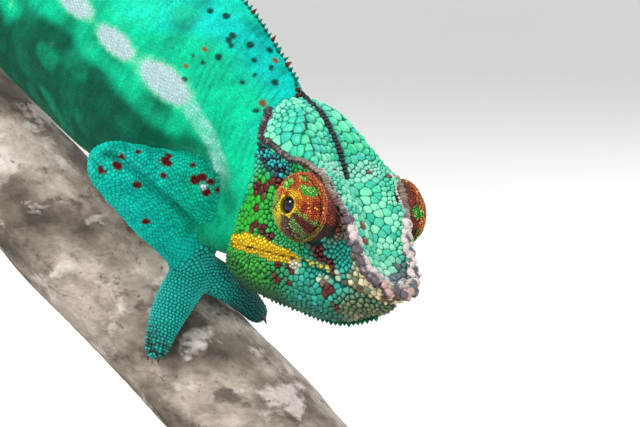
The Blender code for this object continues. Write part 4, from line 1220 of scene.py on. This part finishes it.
def crest_knobs():
    """The lateral crests: rows of knobs, narrow ones side by side over the eyes and thick ones on the snout."""
    crest = np.array(CREST)
    lines = {"brow": crest[crest[:, 0] < 11.5], "snout": crest[crest[:, 0] > 9.5]}
    draw = np.random.default_rng(17)
    sets = {k: [] for k in ("points", "faces", "tone", "rise", "flat")}
    start = 0
    for side in SIDES.values():
        for n, (part, pitch, out, up, halves, jitter) in enumerate(CREST_BANDS):
            centre, along, outward, upward = beside(lines[part], side, pitch, out, up)
            sunk = in_head(onto_skin(moved(centre, HEAD))[0]) - centre
            for _ in range(3):
                sunk[1:-1] = (sunk[:-2] + sunk[1:-1] + sunk[2:]) / 3
            centre = centre + np.clip(sunk, -1.2, 1.2) * 0.85 + draw.uniform(-jitter, jitter, centre.shape)
            points, faces = ball(3 if part == "snout" else 2)
            for c, a, o, u in zip(centre, along, outward, upward):
                size = np.array(halves) * draw.uniform(0.85, 1.18, 3)
                chance = draw.random()
                lean = unit(o + 0.25 * u * draw.uniform(-1, 1))
                lumps = 0.13 * waves(points + c, 1.5, 82) + 0.06 * waves(points + c, 0.8, 85)
                local = points * size * (1 + (1.0 if part == "snout" else 0.5) * lumps)[:, None]
                spread = c + local[:, :1] * a + local[:, 1:2] * lean + local[:, 2:] * u
                height = np.clip(0.5 + 0.62 * points[:, 2], 0, 1)
                tone = band_tone(part, n % 3, spread, height, chance)
                flat = unwrap(moved(c[None], HEAD), np.array(["head"]))
                sets["points"].append(spread)
                sets["faces"].append(faces + start)
                # each knob darkened toward its foot, a painted shade
                sets["tone"].append(lit(tone, height, np.array(GROOVE_SHADES["crest"])))
                sets["rise"].append(height)
                sets["flat"].append(flat + PATCH * points[:, :2])
                start += len(points)
    made = {k: np.concatenate(v) for k, v in sets.items()}
    return add_mesh("crests_lateral", moved(made["points"], HEAD), made["faces"], SCALE_LOOKS["face"],
                    np.clip(made["tone"], 0.001, 0.95), made["rise"], made["flat"])


def grip_ways(grip):
    """The axes of the two bundles of toes of a hand or foot."""
    palm, *tips = GRIPS[grip]
    side = SIDES[grip.split("_")[1]]
    ways = []
    for tip in tips:
        way = []
        for t in np.linspace(0, 1.06, 9):
            station, turn = (a + (b - a) * t for a, b in zip(palm, tip))
            reach = BRANCH_RADIUS + 5.4 - 2.3 * min(1, 1.4 * t)
            turn = math.radians(turn)
            way.append((station, side * reach * math.sin(turn), reach * math.cos(turn)))
        ways.append(way)
    return ways


def body_pitch(share):
    """Width of the grains down the body and tail: fine on the neck and flanks, finest at the tail's tip."""
    return float(np.interp(share, (0, 0.16, 0.2, 0.42, 1), (0.8, 0.8, 0.92, 0.98, 0.7)))


def all_seeds():
    """Places and kinds of every seed on the skin, those of the crests first."""
    sets = spike_rows() + [(lip_rows(), LIP)]
    sets.append((rows_round(BODY_WAY, BODY, body_pitch), PLAIN))
    for name, limb in LIMB_WAYS.items():
        sets.append((rows_round(limb, (name,), lambda t: LIMB_PITCH, 14, 1.25), PLAIN))
    for grip in GRIPS:
        sets += [(rows_round(way, (grip,), lambda t: PAW_PITCH, 7), PLAIN) for way in grip_ways(grip)]
    rows = np.vstack([s for s, _ in sets])
    kinds = np.concatenate([np.full(len(s), k) for s, k in sets])
    rows, _, faces = onto_skin(rows)
    sizes = scale_size(rows, OWNERS[QUADS[faces, 0]])
    sizes = np.where(kinds == PLAIN, sizes, 1.0)
    kept = thin_out(rows, sizes, ROW_CLEAR)
    rows, kinds, sizes = rows[kept], kinds[kept], sizes[kept]
    for kind, (size, _) in MARKS.items():
        sizes[kinds == kind] = size
    fill = scale_size(SKIN, OWNERS)
    tree = kd_tree(rows)
    clear = [min(f[2] - 0.42 * (fill[n] + sizes[f[1]]) for f in tree.find_n(p, 5)) > 0 for n, p in enumerate(SKIN)]
    order = np.random.default_rng(5).permutation(len(SKIN))
    order = order[np.array(clear)[order]]
    order = order[np.argsort(-np.round(fill[order] * 2), kind="stable")]
    kept = order[thin_out(SKIN[order], fill[order], FILL_CLEAR, rows)]
    loose = relaxed(SKIN[kept].copy(), fill[kept], SKIN[order], rows)
    return np.vstack([rows, loose]), np.concatenate([kinds, np.full(len(loose), PLAIN)])


# Dressing the skin ----------

PLATE_HEIGHT, BEAD_HEIGHT = (0.24, 0.07), (0.32, 0.18)  # on the head: the least, and more for each mm of width
PAW_HEIGHT, LIMB_HEIGHT, GRAIN_HEIGHT, YELLOW_HEIGHT = 0.30, 0.16, 0.065, 0.08
REAR = -70  # the station behind which the trunk's scales go into pieces of their own
PROFILES = {  # how far out and how high the rings of a scale lie, as shares of its reach and height
    "plate": ((0.93, 0.5), (0.76, 0.86), (0.4, 0.98)), "bead": ((0.88, 0.5), (0.5, 0.9)), "grain": ((0.72, 0.78),),
    "knob": ((0.93, 0.3), (0.76, 0.68), (0.42, 0.93)), "cone": ((0.7, 0.36), (0.32, 0.78)),
    "pad": ((0.84, 0.55), (0.46, 0.92)), "turret": ((0.8, 0.62), (0.4, 0.95)),
}


def dress():
    """Makes every scale on the skin, in pieces."""
    places, kinds = all_seeds()
    places, normals, faces = onto_skin(places)
    owners = OWNERS[QUADS[faces, 0]]
    away = way_distance(on_one_side(in_head(places)), smooth_way(CREST, 0.4))
    crested = starts(owners, "head", "jaw") & (away < CREST_CLEAR)
    keep = ~np.isin(owners, TURRETS) & ~crested
    places, normals, owners, kinds = places[keep], normals[keep], owners[keep], kinds[keep]
    count = len(places)
    chance = DRAW.random(count)
    q = in_head(places)
    face = starts(owners, *FACE)
    sizes = scale_size(places, owners)
    level = lip_level(q)
    groups = np.where(face & (level < 0) & (level > -2), 1, 0) + np.where(face & (level >= 0) & (level < 2), 2, 0)
    tone = tone_of(places, owners, chance)
    roof = face & (sizes > PLATE_WIDTH)
    limb = starts(owners, *LIMBS)
    grip = starts(owners, *PAWS)
    plates, beads = (least + more * sizes for least, more in (PLATE_HEIGHT, BEAD_HEIGHT))
    height = np.select([roof, face, grip, limb], [plates, beads, PAW_HEIGHT, LIMB_HEIGHT], GRAIN_HEIGHT)
    height *= 0.9 + 0.2 * chance
    spiky = np.isin(kinds, list(SPIKE_TONES))
    tone[spiky] = spike_tone(kinds, chance)[spiky]
    yellow = face & (q[:, 0] < 3.6) & (tone[:, 0] > 0.3) & (tone[:, 2] < 0.05)
    # how far each scale is darkened at its foot, a painted shade in the grooves
    groove_shade = shades(
        GROOVE_SHADES, count,
        (face, "face"), (face & (on_roof(q) > 0.5), "roof"), (roof & (q[:, 0] < -4), "casque"),
        (limb, "limb"), (grip, "paw"), (spiky, "spike"), (yellow, "yellow"),
    )
    height[yellow] = YELLOW_HEIGHT
    for kind, (size, rise) in MARKS.items():
        own = kinds == kind
        sizes[own] = size * (0.85 + 0.3 * chance[own])
        height[own] = rise * (0.8 + 0.45 * chance[own])
    along = np.array(WALK.to_3x3() @ Vector((1, 0, 0)))
    along = unit(along - normals * (normals @ along)[:, None])
    seeds = {"place": places, "normal": normals, "along": along, "height": height, "flat": unwrap(places, owners)}
    right = in_walk(places)[:, 1] < 0
    body = starts(owners, "neck", "trunk")
    rear = in_walk(places)[:, 0] < REAR
    tail = starts(owners, "tail")
    pieces = {  # which scales, corners of each, profile, slot, and the share of their reach that they take
        "scales_head_plates": (roof & ~spiky, 13, "plate", "skin_head", 0.98),
        "scales_face": (face & ~roof & ~spiky, 9, "bead", "skin_head", 0.93),
        "scales_trunk_right": (body & right & ~rear & ~spiky, 7, "grain", "skin", 0.97),
        "scales_trunk_left": (body & ~right & ~rear & ~spiky, 7, "grain", "skin", 0.97),
        "scales_flank_right": (body & right & rear & ~spiky, 7, "grain", "skin", 0.97),
        "scales_flank_left": (body & ~right & rear & ~spiky, 7, "grain", "skin", 0.97),
        "scales_tail": (tail & ~spiky, 6, "grain", "skin", 0.96),
        "crest_crown": (kinds == RIDGE_KNOB, 10, "knob", "skin_head", 0.98),
        "crests_back_and_throat": (spiky & (kinds != RIDGE_KNOB), 8, "cone", "skin", 0.96),
    }
    for name in LIMB_WAYS:
        paw = paw_of(name)
        pieces["scales_" + name] = (starts(owners, name), 7, "grain", "skin", 0.97)
        pieces["scales_" + paw] = (owners == paw, 6, "pad", "skin", 0.96)
    made = []
    for name, (own, corners, profile, slot, squeeze) in pieces.items():
        own = np.flatnonzero(own)
        reach, angle = cell_reach(places, normals, along, sizes, groups, corners, own)
        part = {k: v[own] for k, v in seeds.items()}
        part.update(reach=reach, angle=angle)
        dome = dome_meshes(part, corners, PROFILES[profile], squeeze, SURFACE)
        each = own[dome["scale"]]
        colour = tone[each]
        if slot == "skin" and name.startswith("scales"):
            colour = tone_of(dome["points"], owners[each], chance[each])
        # each scale darkened toward its foot, a painted shade in the grooves round it
        colour = lit(colour, dome["rise"], groove_shade[each])
        look = "face" if name == "scales_face" else "hand" if "hand" in name or "foot" in name else "body"
        material = SCALE_LOOKS["head" if name in ("scales_head_plates", "crest_crown") else look]
        piece = add_mesh(name, dome["points"], dome["faces"], material, colour, dome["rise"], dome["flat"])
        made.append((piece, slot))
    return made


# The eye turrets ----------

TURRET_LINE = (  # radius and height of the outline from the foot to the lids, then of the rim that turns in
    (6.2, -2.6), (6.95, -0.6), (7.25, 1.2), (7.35, 2.4), (7.3, 3.4), (6.48, 5.0), (4.88, 6.35), (3.0, 7.3), (2.2, 7.7),
)
TURRET_RIM = ((2.04, 7.76), (1.92, 7.82), (1.81, 7.70), (1.74, 7.4), (1.70, 7.0), (1.66, 6.6))
TURRET_PITCH, TURRET_RISE = 0.52, 0.16  # width and height of its scales
EYE_RADIUS, EYE_OUT = 2.2, 5.62  # the globe that shows, and how far out on the turret's axis it lies
TURRET_GREENS = (  # forward, up, half width, half height
    (-4.0, 3.0, 1.2, 1.3), (-2.3, 6.0, 1.5, 0.75), (1.0, 4.6, 2.0, 0.85), (2.2, 5.6, 1.1, 0.7),
)
TURRET_BANDS = (  # turn from forward, half width, colour
    (-10, 13, (0.09, 0.006, 0.005)), (-34, 9, (0.10, 0.16, 0.04)), (-55, 10, (0.07, 0.012, 0.01)),
    (-76, 9, (0.12, 0.05, 0.03)), (-98, 10, (0.30, 0.30, 0.02)), (-122, 13, (0.34, 0.38, 0.03)),
    (-158, 17, (0.11, 0.30, 0.06)), (8, 9, (0.16, 0.26, 0.05)), (24, 9, (0.12, 0.012, 0.01)),
)


def turret_frame(side):
    """From the turret's own frame, Z out along its axis, to the world."""
    axis = Vector((EYE_AXIS[0], side * EYE_AXIS[1], EYE_AXIS[2])).normalized()
    place = Vector((EYE_PLACE[0], side * EYE_PLACE[1], EYE_PLACE[2]))
    return HEAD @ Matrix.Translation(place) @ axis.to_track_quat("Z", "Y").to_matrix().to_4x4()


def turret_rows():
    """The turret's outline from its foot to the rim of the lids, as radius and height."""
    line = smooth_way([(r, 0, z) for r, z in TURRET_LINE], 0.16)[:, [0, 2]]
    return np.vstack([line, TURRET_RIM])


def fold_height(turn):
    """Where the fold round the turret's cap lies: higher over the eye than under it."""
    return 4.0 + 0.75 * np.cos(turn - math.radians(85))


def turret_fold(rise, turn):
    """How far the lid swells or sinks at its folds."""
    off = rise - fold_height(turn)
    shape = 0.34 * hump(off + 0.75, 0.42) - 0.42 * hump(off, 0.24) - 0.36 * hump(off + 1.55, 0.28)
    return shape + 0.05 * np.sin(off * 9) * step(off, 0.3, 1.0) * fall(off, 1.6, 2.6)


def on_turret(points, side):
    """How far places lie along a turret's axis, where square to it, and how far round from forward."""
    q = in_head(points) - mirrored(EYE_PLACE, side)
    axis = unit(mirrored(EYE_AXIS, side))
    rise = q @ axis
    flat = q - rise[:, None] * axis
    return rise, flat, np.arctan2(flat[:, 2], flat[:, 0])


def turret_tone(points, side, chance):
    """The colours of a turret: orange over the eye with green patches, bands below, a yellow rim."""
    rise, flat, turn = on_turret(points, side)
    out = np.linalg.norm(flat, axis=1)
    grain = waves(points, 2.2, 51) + 0.6 * waves(points, 1.1, 52)
    upper = step(np.sin(turn - 0.12) * out + 0.35 * grain, -0.3, 0.5)
    tone = filled((0.12, 0.06, 0.05), len(points))
    for middle, wide, colour in TURRET_BANDS:
        off = (turn - math.radians(middle) + math.pi) % TAU - math.pi
        wide = math.radians(wide)
        tone = paint(tone, (colour, fall(np.abs(off) + 0.06 * grain, wide * 0.8, wide * 1.15)))
    speck = fall(out, 4.6, 6.8) * step(-np.cos(turn + 0.9), -0.9, 0.2) * (1 - 0.6 * (np.cos(turn) < -0.86))
    tone = paint(
        tone,
        ((0.52, 0.58, 0.02), (chance < 0.40) * speck * (1 - upper)),
        ((0.03, 0.03, 0.012), (chance > 0.86) * fall(flat[:, 0], -1.5, 0.5) * (1 - upper) * 0.8),
        ((0.16, 0.42, 0.10), (chance > 0.55) * (chance < 0.8) * spot(flat, (3.0, 0, -3.4), (2.4, 9, 2.0))),
        ((0.10, 0.50, 0.03), (chance > 0.72) * spot(flat, (3.2, 0, 1.2), (1.6, 9, 1.4))),
        (ORANGE, upper),
        ((0.24, 0.012, 0.006), upper * step(grain, -0.1, 0.5) * 0.85),
        ((0.70, 0.30, 0.01), upper * (chance > 0.86)),
    )
    for a, b, wide, tall in TURRET_GREENS:
        green = spot(flat + 0.25 * grain[:, None], (a, 0, b), (wide, 99, tall), 0.15)
        tone = paint(
            tone,
            ((0.03, 0.36, 0.02), green),
            ((0.42, 0.72, 0.18), green * (chance < 0.42)),
        )
    tone = paint(
        tone,
        ((0.72, 0.50, 0.008), fall(out + 0.45 * grain, 2.15, 2.5)),
        ((0.74, 0.52, 0.01), spot(flat + 0.2 * grain[:, None], (-1.5, 0, -2.6), (1.1, 99, 1.3)) * (chance < 0.85)),
        ((0.74, 0.42, 0.01), spot(flat + 0.2 * grain[:, None], (-0.2, 0, 2.7), (1.7, 99, 0.7)) * (chance < 0.9)),
    )
    off = rise - fold_height(turn)
    ring = step(off, -1.45, -1.2) * fall(off, -0.3, -0.1)
    tone = paint(
        tone,
        ((0.50, 0.10, 0.018), ring * upper),
        ((0.62, 0.32, 0.14), ring * upper * (chance > 0.86)),
        ((0.20, 0.17, 0.02), ring * (1 - upper) * 0.8),
    )
    skirt = fall(off, -1.6, -1.3)
    tone = paint(
        tone,
        ((0.20, 0.04, 0.025), skirt),
        ((0.50, 0.09, 0.01), skirt * (chance > 0.93) * fall(turn, 1.0, 1.4)),
        ((0.05, 0.02, 0.014), skirt * (1 - upper)),
    )
    if side > 0:
        where = np.column_stack([rise, np.degrees(turn) / 10, np.zeros(len(turn))]) + 0.2 * grain[:, None]
        for height, round_at in ((2.6, 3.6), (3.6, -1.8)):
            green = spot(where, (height, round_at, 0), (1.3, 1.1, 9), 0.2)
            tone = paint(
                tone,
                ((0.04, 0.38, 0.03), green),
                ((0.42, 0.70, 0.18), green * (chance < 0.35)),
            )
        tone = paint(tone, ((0.60, 0.13, 0.012), spot(where, (4.4, 1.2, 0), (1.3, 1.2, 9), 0.3) * 0.8))
    # a dark line along the fold round the cap, a painted shade in its crease
    tone = paint(tone, ((0.02, 0.006, 0.004), hump(off, 0.2) * 0.85))
    return np.clip(tone * (0.85 + 0.3 * chance)[:, None], 0.001, 0.95)


def folded(local, to_world, side):
    """Places on the plain turret, moved in or out where its folds are."""
    rise, _, turn = on_turret(moved(local, to_world), side)
    slim = 0.10 * np.maximum(np.sin(turn), 0) * fall(rise, 2.2, 3.8)
    slim += 0.07 * np.maximum(-np.sin(turn), 0) * fall(rise, 5.2, 6.8)
    local = local * np.column_stack([1 - slim, 1 - slim, np.ones(len(slim))])
    outward = unit(local * (1, 1, 0.6))
    return moved(local + outward * turret_fold(rise, turn)[:, None], to_world)


def dress_turret(label, side):
    """An eye turret's skin and its rows of fine scales."""
    to_world = turret_frame(side)
    rows = turret_rows()
    around = 128
    spin = np.linspace(0, TAU, around, endpoint=False)
    local = np.array([[(r * math.cos(a), r * math.sin(a), z) for a in spin] for r, z in rows]).reshape(-1, 3)
    points = folded(local, to_world, side)
    quads = tube_quads(len(rows), around)
    tone = turret_tone(points, side, np.full(len(points), 0.5))
    # the skin between the turret's scales darkened to a quarter, a painted shade
    skin = add_mesh("turret_skin_" + label, points, quads, SKIN_LOOK, tone * 0.25, np.zeros(len(points)))
    surface = BVHTree.FromPolygons([Vector(p) for p in points], quads.tolist())
    run = run_along(rows)
    end = run[len(rows) - len(TURRET_RIM)]
    seeds, lines, pitch = [], [], TURRET_PITCH
    for i, s in enumerate(np.arange(0.4, end - 0.1, pitch * 0.9)):
        r, z = np.interp(s, run, rows[:, 0]), np.interp(s, run, rows[:, 1])
        count = max(8, round(TAU * r / pitch))
        a = (np.arange(count) + 0.5 * (i % 2) + DRAW.uniform(-0.4, 0.4, count)) * TAU / count
        seeds.append(np.column_stack([r * np.cos(a), r * np.sin(a), z + DRAW.uniform(-0.14, 0.14, count)]))
        lines.append(np.column_stack([-np.sin(a), np.cos(a), np.zeros(count)]))
    local = np.vstack(seeds)
    places = folded(local, to_world, side)
    turned = to_world.to_3x3()
    along = np.vstack(lines) @ np.array(turned).T
    places, normals, _ = onto(surface, places)
    middle = np.array(to_world @ Vector((0, 0, 1)))
    normals *= np.sign(((places - middle) * normals).sum(1))[:, None]
    along = unit(along - normals * (along * normals).sum(1)[:, None])
    chance = DRAW.random(len(places))
    count = len(places)
    sizes, groups = np.full(count, pitch), np.zeros(count, int)
    reach, angle = cell_reach(places, normals, along, sizes, groups, 7, np.arange(count))
    flat = np.array((0.85 + 0.05 * side, 0.955)) + 0.04 * local[:, :2] / 8
    part = {"place": places, "normal": normals, "along": along, "height": np.full(count, TURRET_RISE),
            "flat": flat, "reach": reach, "angle": angle}
    dome = dome_meshes(part, 7, PROFILES["turret"], 1.0, surface)
    # each turret scale darkened toward its foot, a painted shade in the grooves
    tone = lit(turret_tone(places, side, chance)[dome["scale"]], dome["rise"], np.array(GROOVE_SHADES["turret"]))
    scales = add_mesh("turret_scales_" + label, dome["points"], dome["faces"], SCALE_LOOKS["head"], tone,
                      dome["rise"], dome["flat"])
    return skin, scales


def eye_dome(label, side):
    """The eye that shows in the turret's opening: a smooth dark globe, a little short of the lids."""
    bm = bmesh.new()
    bmesh.ops.create_uvsphere(bm, u_segments=48, v_segments=28, radius=EYE_RADIUS,
                              matrix=turret_frame(side) @ Matrix.Translation((0, 0, EYE_OUT)))
    bmesh.ops.triangulate(bm, faces=bm.faces)
    return add_mesh("eye_" + label, *arrays_of(bm), EYE_LOOK)


# The claws ----------

TOE_RISE, TOE_HALF = 3.1, 3.0  # from the bark to the middle of a bundle of toes, and half its width
CLAW_LENGTH, CLAW_BASE, CLAW_TIP = 2.5, 0.62, 0.07
CLAW_ROUND, CLAW_RINGS = 10, 10


def claw(start, ahead, inward):
    """A smooth curved claw from a toe's end, bent toward the branch."""
    points = []
    across = unit(np.cross(ahead, inward))
    for t in np.linspace(0, 1, CLAW_RINGS):
        centre = start + ahead * (CLAW_LENGTH * t) + inward * (0.9 * t * t)
        radius = CLAW_BASE + (CLAW_TIP - CLAW_BASE) * t**1.3 if t < 1 else 0.01
        slope = unit(ahead * CLAW_LENGTH + inward * 1.8 * t)
        for turn in np.linspace(0, TAU, CLAW_ROUND, endpoint=False):
            points.append(centre + radius * (math.cos(turn) * across + math.sin(turn) * np.cross(slope, across)))
    return moved(np.array(points), WALK)


def over_bark(station, turn, side):
    """A place in the middle of a bundle of toes, in the walk frame."""
    turn, reach = math.radians(turn), BRANCH_RADIUS + TOE_RISE
    return np.array((station, side * reach * math.sin(turn), reach * math.cos(turn)))


def dress_claws(limb, material):
    """The claws of one hand or foot, which stay apart from its skin."""
    side = SIDES[limb[4:]]
    palm, *tips = GRIPS[paw_of(limb)]
    made, replaced = [], []
    for which, (station, turn) in zip(("outer", "inner"), tips):
        nodes = [k for k in NODES if k.startswith(f"claw_{limb}_{which}")]
        tip = over_bark(station, turn, side)
        before = over_bark(station - 0.1 * (station - palm[0]), turn - 0.1 * (turn - palm[1]), side)
        ahead, outward = unit(tip - before), unit(tip * (0, 1, 1))
        across = unit(np.cross(ahead, outward))
        inward = np.cross(ahead, across)
        inward *= -np.sign(inward @ outward)
        for k in range(len(nodes)):
            shift = (k - (len(nodes) - 1) / 2) * 2 * TOE_HALF / (len(nodes) + 0.2)
            made.append(claw(tip + across * shift + ahead * 0.9 - inward * 0.3, ahead, inward))
        replaced += nodes
    quads = tube_quads(CLAW_RINGS, CLAW_ROUND)
    quads = np.vstack([quads + i * CLAW_ROUND * CLAW_RINGS for i in range(len(made))])
    piece = add_mesh("claws_" + limb, np.vstack(made), quads, material)
    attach(piece, "root")
    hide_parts(*replaced)


# The branch ----------


SAWN_RINGS = (0.97, 0.8, 0.6, 0.4, 0.2, 0.02)  # how far out the rings of a sawn end lie
SAW_MARK = 0.12


def dress_branch():
    """Bark with real relief: the CAD branch's outline with furrows, small warts and sawn ends."""
    around, steps = 150, 420
    turn = np.linspace(0, TAU, around, endpoint=False)
    stations = np.linspace(BRANCH_SPAN[0], BRANCH_SPAN[1], steps)
    s, a = np.meshgrid(stations, turn, indexing="ij")
    r = BRANCH_RADIUS + 0.28 * np.sin(0.05 * s + a) + 0.2 * np.cos(0.11 * s - 2 * a) - 0.12
    for station, degrees, tall, wide in BRANCH_KNOTS:
        off = (np.radians(degrees) - a + math.pi) % TAU - math.pi
        away = np.hypot((s - station) / wide, off * BRANCH_RADIUS / wide)
        r += tall * np.exp(-(away**2) * 2.2) * (1 - 0.5 * hump(away, 0.32))
    flat = np.column_stack([s.ravel(), (r * np.sin(a)).ravel(), (r * np.cos(a)).ravel()])
    furrow = waves(flat * (0.25, 1, 1), 3.2, 61) + 0.6 * waves(flat * (0.4, 1, 1), 1.7, 62)
    wart = np.maximum(waves(flat, 5.5, 63) - 1.2, 0)
    fine = (0.10 * furrow + 0.22 * wart).reshape(s.shape)
    bevel = np.minimum(np.abs(s - BRANCH_SPAN[0]), np.abs(s - BRANCH_SPAN[1]))
    r = r + np.clip(fine, -0.25, 0.2) - 0.5 * hump(bevel, 0.6)
    body = np.stack([s, r * np.sin(a), r * np.cos(a)], -1)
    points, quads, ends = [body.reshape(-1, 3)], [tube_quads(steps, around)[:, [0, 3, 2, 1]]], [np.zeros(s.size)]
    start = steps * around
    for row, face in ((0, -1), (steps - 1, 1)):
        previous = row * around + np.arange(around)
        rings = [body[row] * (1, share, share) for share in SAWN_RINGS]
        for share, ring in zip(SAWN_RINGS, rings):
            ring[:, 0] -= face * SAW_MARK * (1 - abs(math.sin(share * 40)))
        for ring in [*rings, np.array([[body[row][:, 0].mean(), 0, 0]] * around)]:
            points.append(ring)
            ends.append(np.ones(around))
            here = start + np.arange(around)
            loop = np.column_stack([previous, here, np.roll(here, -1), np.roll(previous, -1)])
            quads.append(loop if face > 0 else loop[:, ::-1])
            previous, start = here, start + around
    points, ends = np.vstack(points), np.concatenate(ends)
    return add_mesh("branch_bark", moved(points, WALK), np.vstack(quads), bark_material(), None, ends)


# Everything together ----------

SCALE_LOOKS = {
    "head": scale_material("scales_head_look", 0.32, 0.48, 0.32),
    "face": scale_material("scales_face_look", 0.27, 0.42, 0.42),
    "hand": scale_material("scales_hand_look", 0.32, 0.46, 0.32),
    "body": scale_material("scales_body_look", 0.52, 0.70, 0.03),
}
SKIN_LOOK, EYE_LOOK = skin_material(), eyeball_material()

skin_tone = tone_of(SKIN, OWNERS, np.full(len(SKIN), 0.5))
on_face = starts(OWNERS, *FACE)
# the skin between the scales darkened, a painted shade in the gaps
skin_tone *= shades(
    SKIN_SHADES, len(SKIN),
    (starts(OWNERS, *LIMBS), "limb"), (starts(OWNERS, *PAWS), "paw"),
    (on_face, "face"), (on_face & (skin_tone[:, 0] > 0.4), "yellow"),
)
skin = add_mesh("skin", SKIN, QUADS, SKIN_LOOK, skin_tone, np.zeros(len(SKIN)))
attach(skin, "root")
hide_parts(*FLESH)
for piece, slot in [*dress(), (crest_knobs(), "skin_head")]:
    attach(piece, "root")
for label, side in SIDES.items():
    turret, scales = dress_turret(label, side)
    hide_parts("eye_turret_" + label)
    eye = eye_dome(label, side)
    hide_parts("eyeball_" + label)
    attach(eye, "root")
    for piece in (turret, scales):
        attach(piece, "root")
bark = dress_branch()
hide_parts("branch")
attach(bark, "root")

horn = claw_material()
for limb in LIMB_WAYS:
    dress_claws(limb, horn)
for names, material in (
    (("stand_base",), base_material()),
    (("stand_rod", "stand_collar"), steel_material()),
):
    for name, node in NODES.items():
        if name.startswith(names):
            node.data.materials.clear()
            node.data.materials.append(material)


# Studio ----------

CAMERA_PLACE = (0.5303, -0.5568, 0.18135)
CAMERA_ANGLES = (38, 5)  # how far it is turned from looking along +Y, and how far it looks down
CAMERA_LENS = 183.3
FLOOR_FLAT, FLOOR_CURVE, WALL_TOP = 5.0, 4, 7.0  # metres
LAMPS_AIM = (0.04, 0.0, 0.13)
LAMPS = {  # place, size, power and colour
    "key": ((-0.35, -1.3, 1.7), 0.7, 36, (1.0, 0.98, 0.94)),
    "fill": ((1.5, -1.2, 0.7), 1.4, 12, (0.94, 0.98, 1.0)),
    "back": ((0.3, 1.6, 1.3), 1.0, 16, (1.0, 1.0, 1.0)),
}
AIR_COLOUR, AIR_LIGHT = (0.93, 0.96, 1.0, 1), 0.34


def add_bowl():
    """A wide pale floor that curves up far away, so that no edge shows from any side."""
    bend = [(math.sin(a), math.cos(a)) for a in np.linspace(0.08, math.pi / 2, 14)]
    line = [(0.0, 0.0), (FLOOR_FLAT, 0.0)]
    line += [(FLOOR_FLAT + FLOOR_CURVE * x, FLOOR_CURVE - FLOOR_CURVE * z) for x, z in bend]
    line += [(FLOOR_FLAT + FLOOR_CURVE, WALL_TOP)]
    around = 96
    spin = np.linspace(0, TAU, around, endpoint=False)
    points = np.array([(r * math.cos(a), r * math.sin(a), z) for r, z in line for a in spin]) / MM
    m = Nodes("studio_floor", Specular_IOR_Level=0.1, Emission_Color=(1, 1, 0.98, 1), Emission_Strength=0.24)
    colour = m.ramp(m.noise(2.0, 2), (0.3, (0.80, 0.80, 0.775)), (0.7, (0.83, 0.83, 0.805)))
    floor = add_mesh("studio_floor_bowl", points, tube_quads(len(line), around),
                     m.finish(colour, m.span(m.noise(9), 0.8, 0.95)))


def add_lamp(name, place, size, power, colour):
    data = bpy.data.lights.new(name, "AREA")
    data.shape, data.size, data.energy, data.color = "DISK", size, power, colour
    lamp = placed(name, data)
    lamp.location = place
    lamp.rotation_euler = (Vector(LAMPS_AIM) - Vector(place)).to_track_quat("-Z", "Y").to_euler()


def add_camera():
    """The photograph's view: from the animal's front right, a little above, with a long lens."""
    turn, rise = (math.radians(angle) for angle in CAMERA_ANGLES)
    right = Vector((math.cos(turn), math.sin(turn), 0))
    up = Vector((-math.sin(turn) * math.sin(rise), math.cos(turn) * math.sin(rise), math.cos(rise)))
    camera = placed("camera", bpy.data.cameras.new("camera"))
    camera.data.lens, camera.data.sensor_width = CAMERA_LENS, 36
    camera.data.clip_start, camera.data.clip_end = 0.01, 60
    camera.matrix_world = Matrix.Translation(CAMERA_PLACE) @ Matrix(
        (right, up, right.cross(up))).transposed().to_4x4()
    bpy.context.scene.camera = camera


add_bowl()
for name, lamp in LAMPS.items():
    add_lamp(name, *lamp)
world = bpy.data.worlds.new("studio_air")
world.use_nodes = True
world.node_tree.nodes["Background"].inputs[0].default_value = AIR_COLOUR
world.node_tree.nodes["Background"].inputs[1].default_value = AIR_LIGHT
bpy.context.scene.world = world
bpy.context.scene.view_settings.view_transform = "Standard"
add_camera()

bpy.context.view_layer.update()
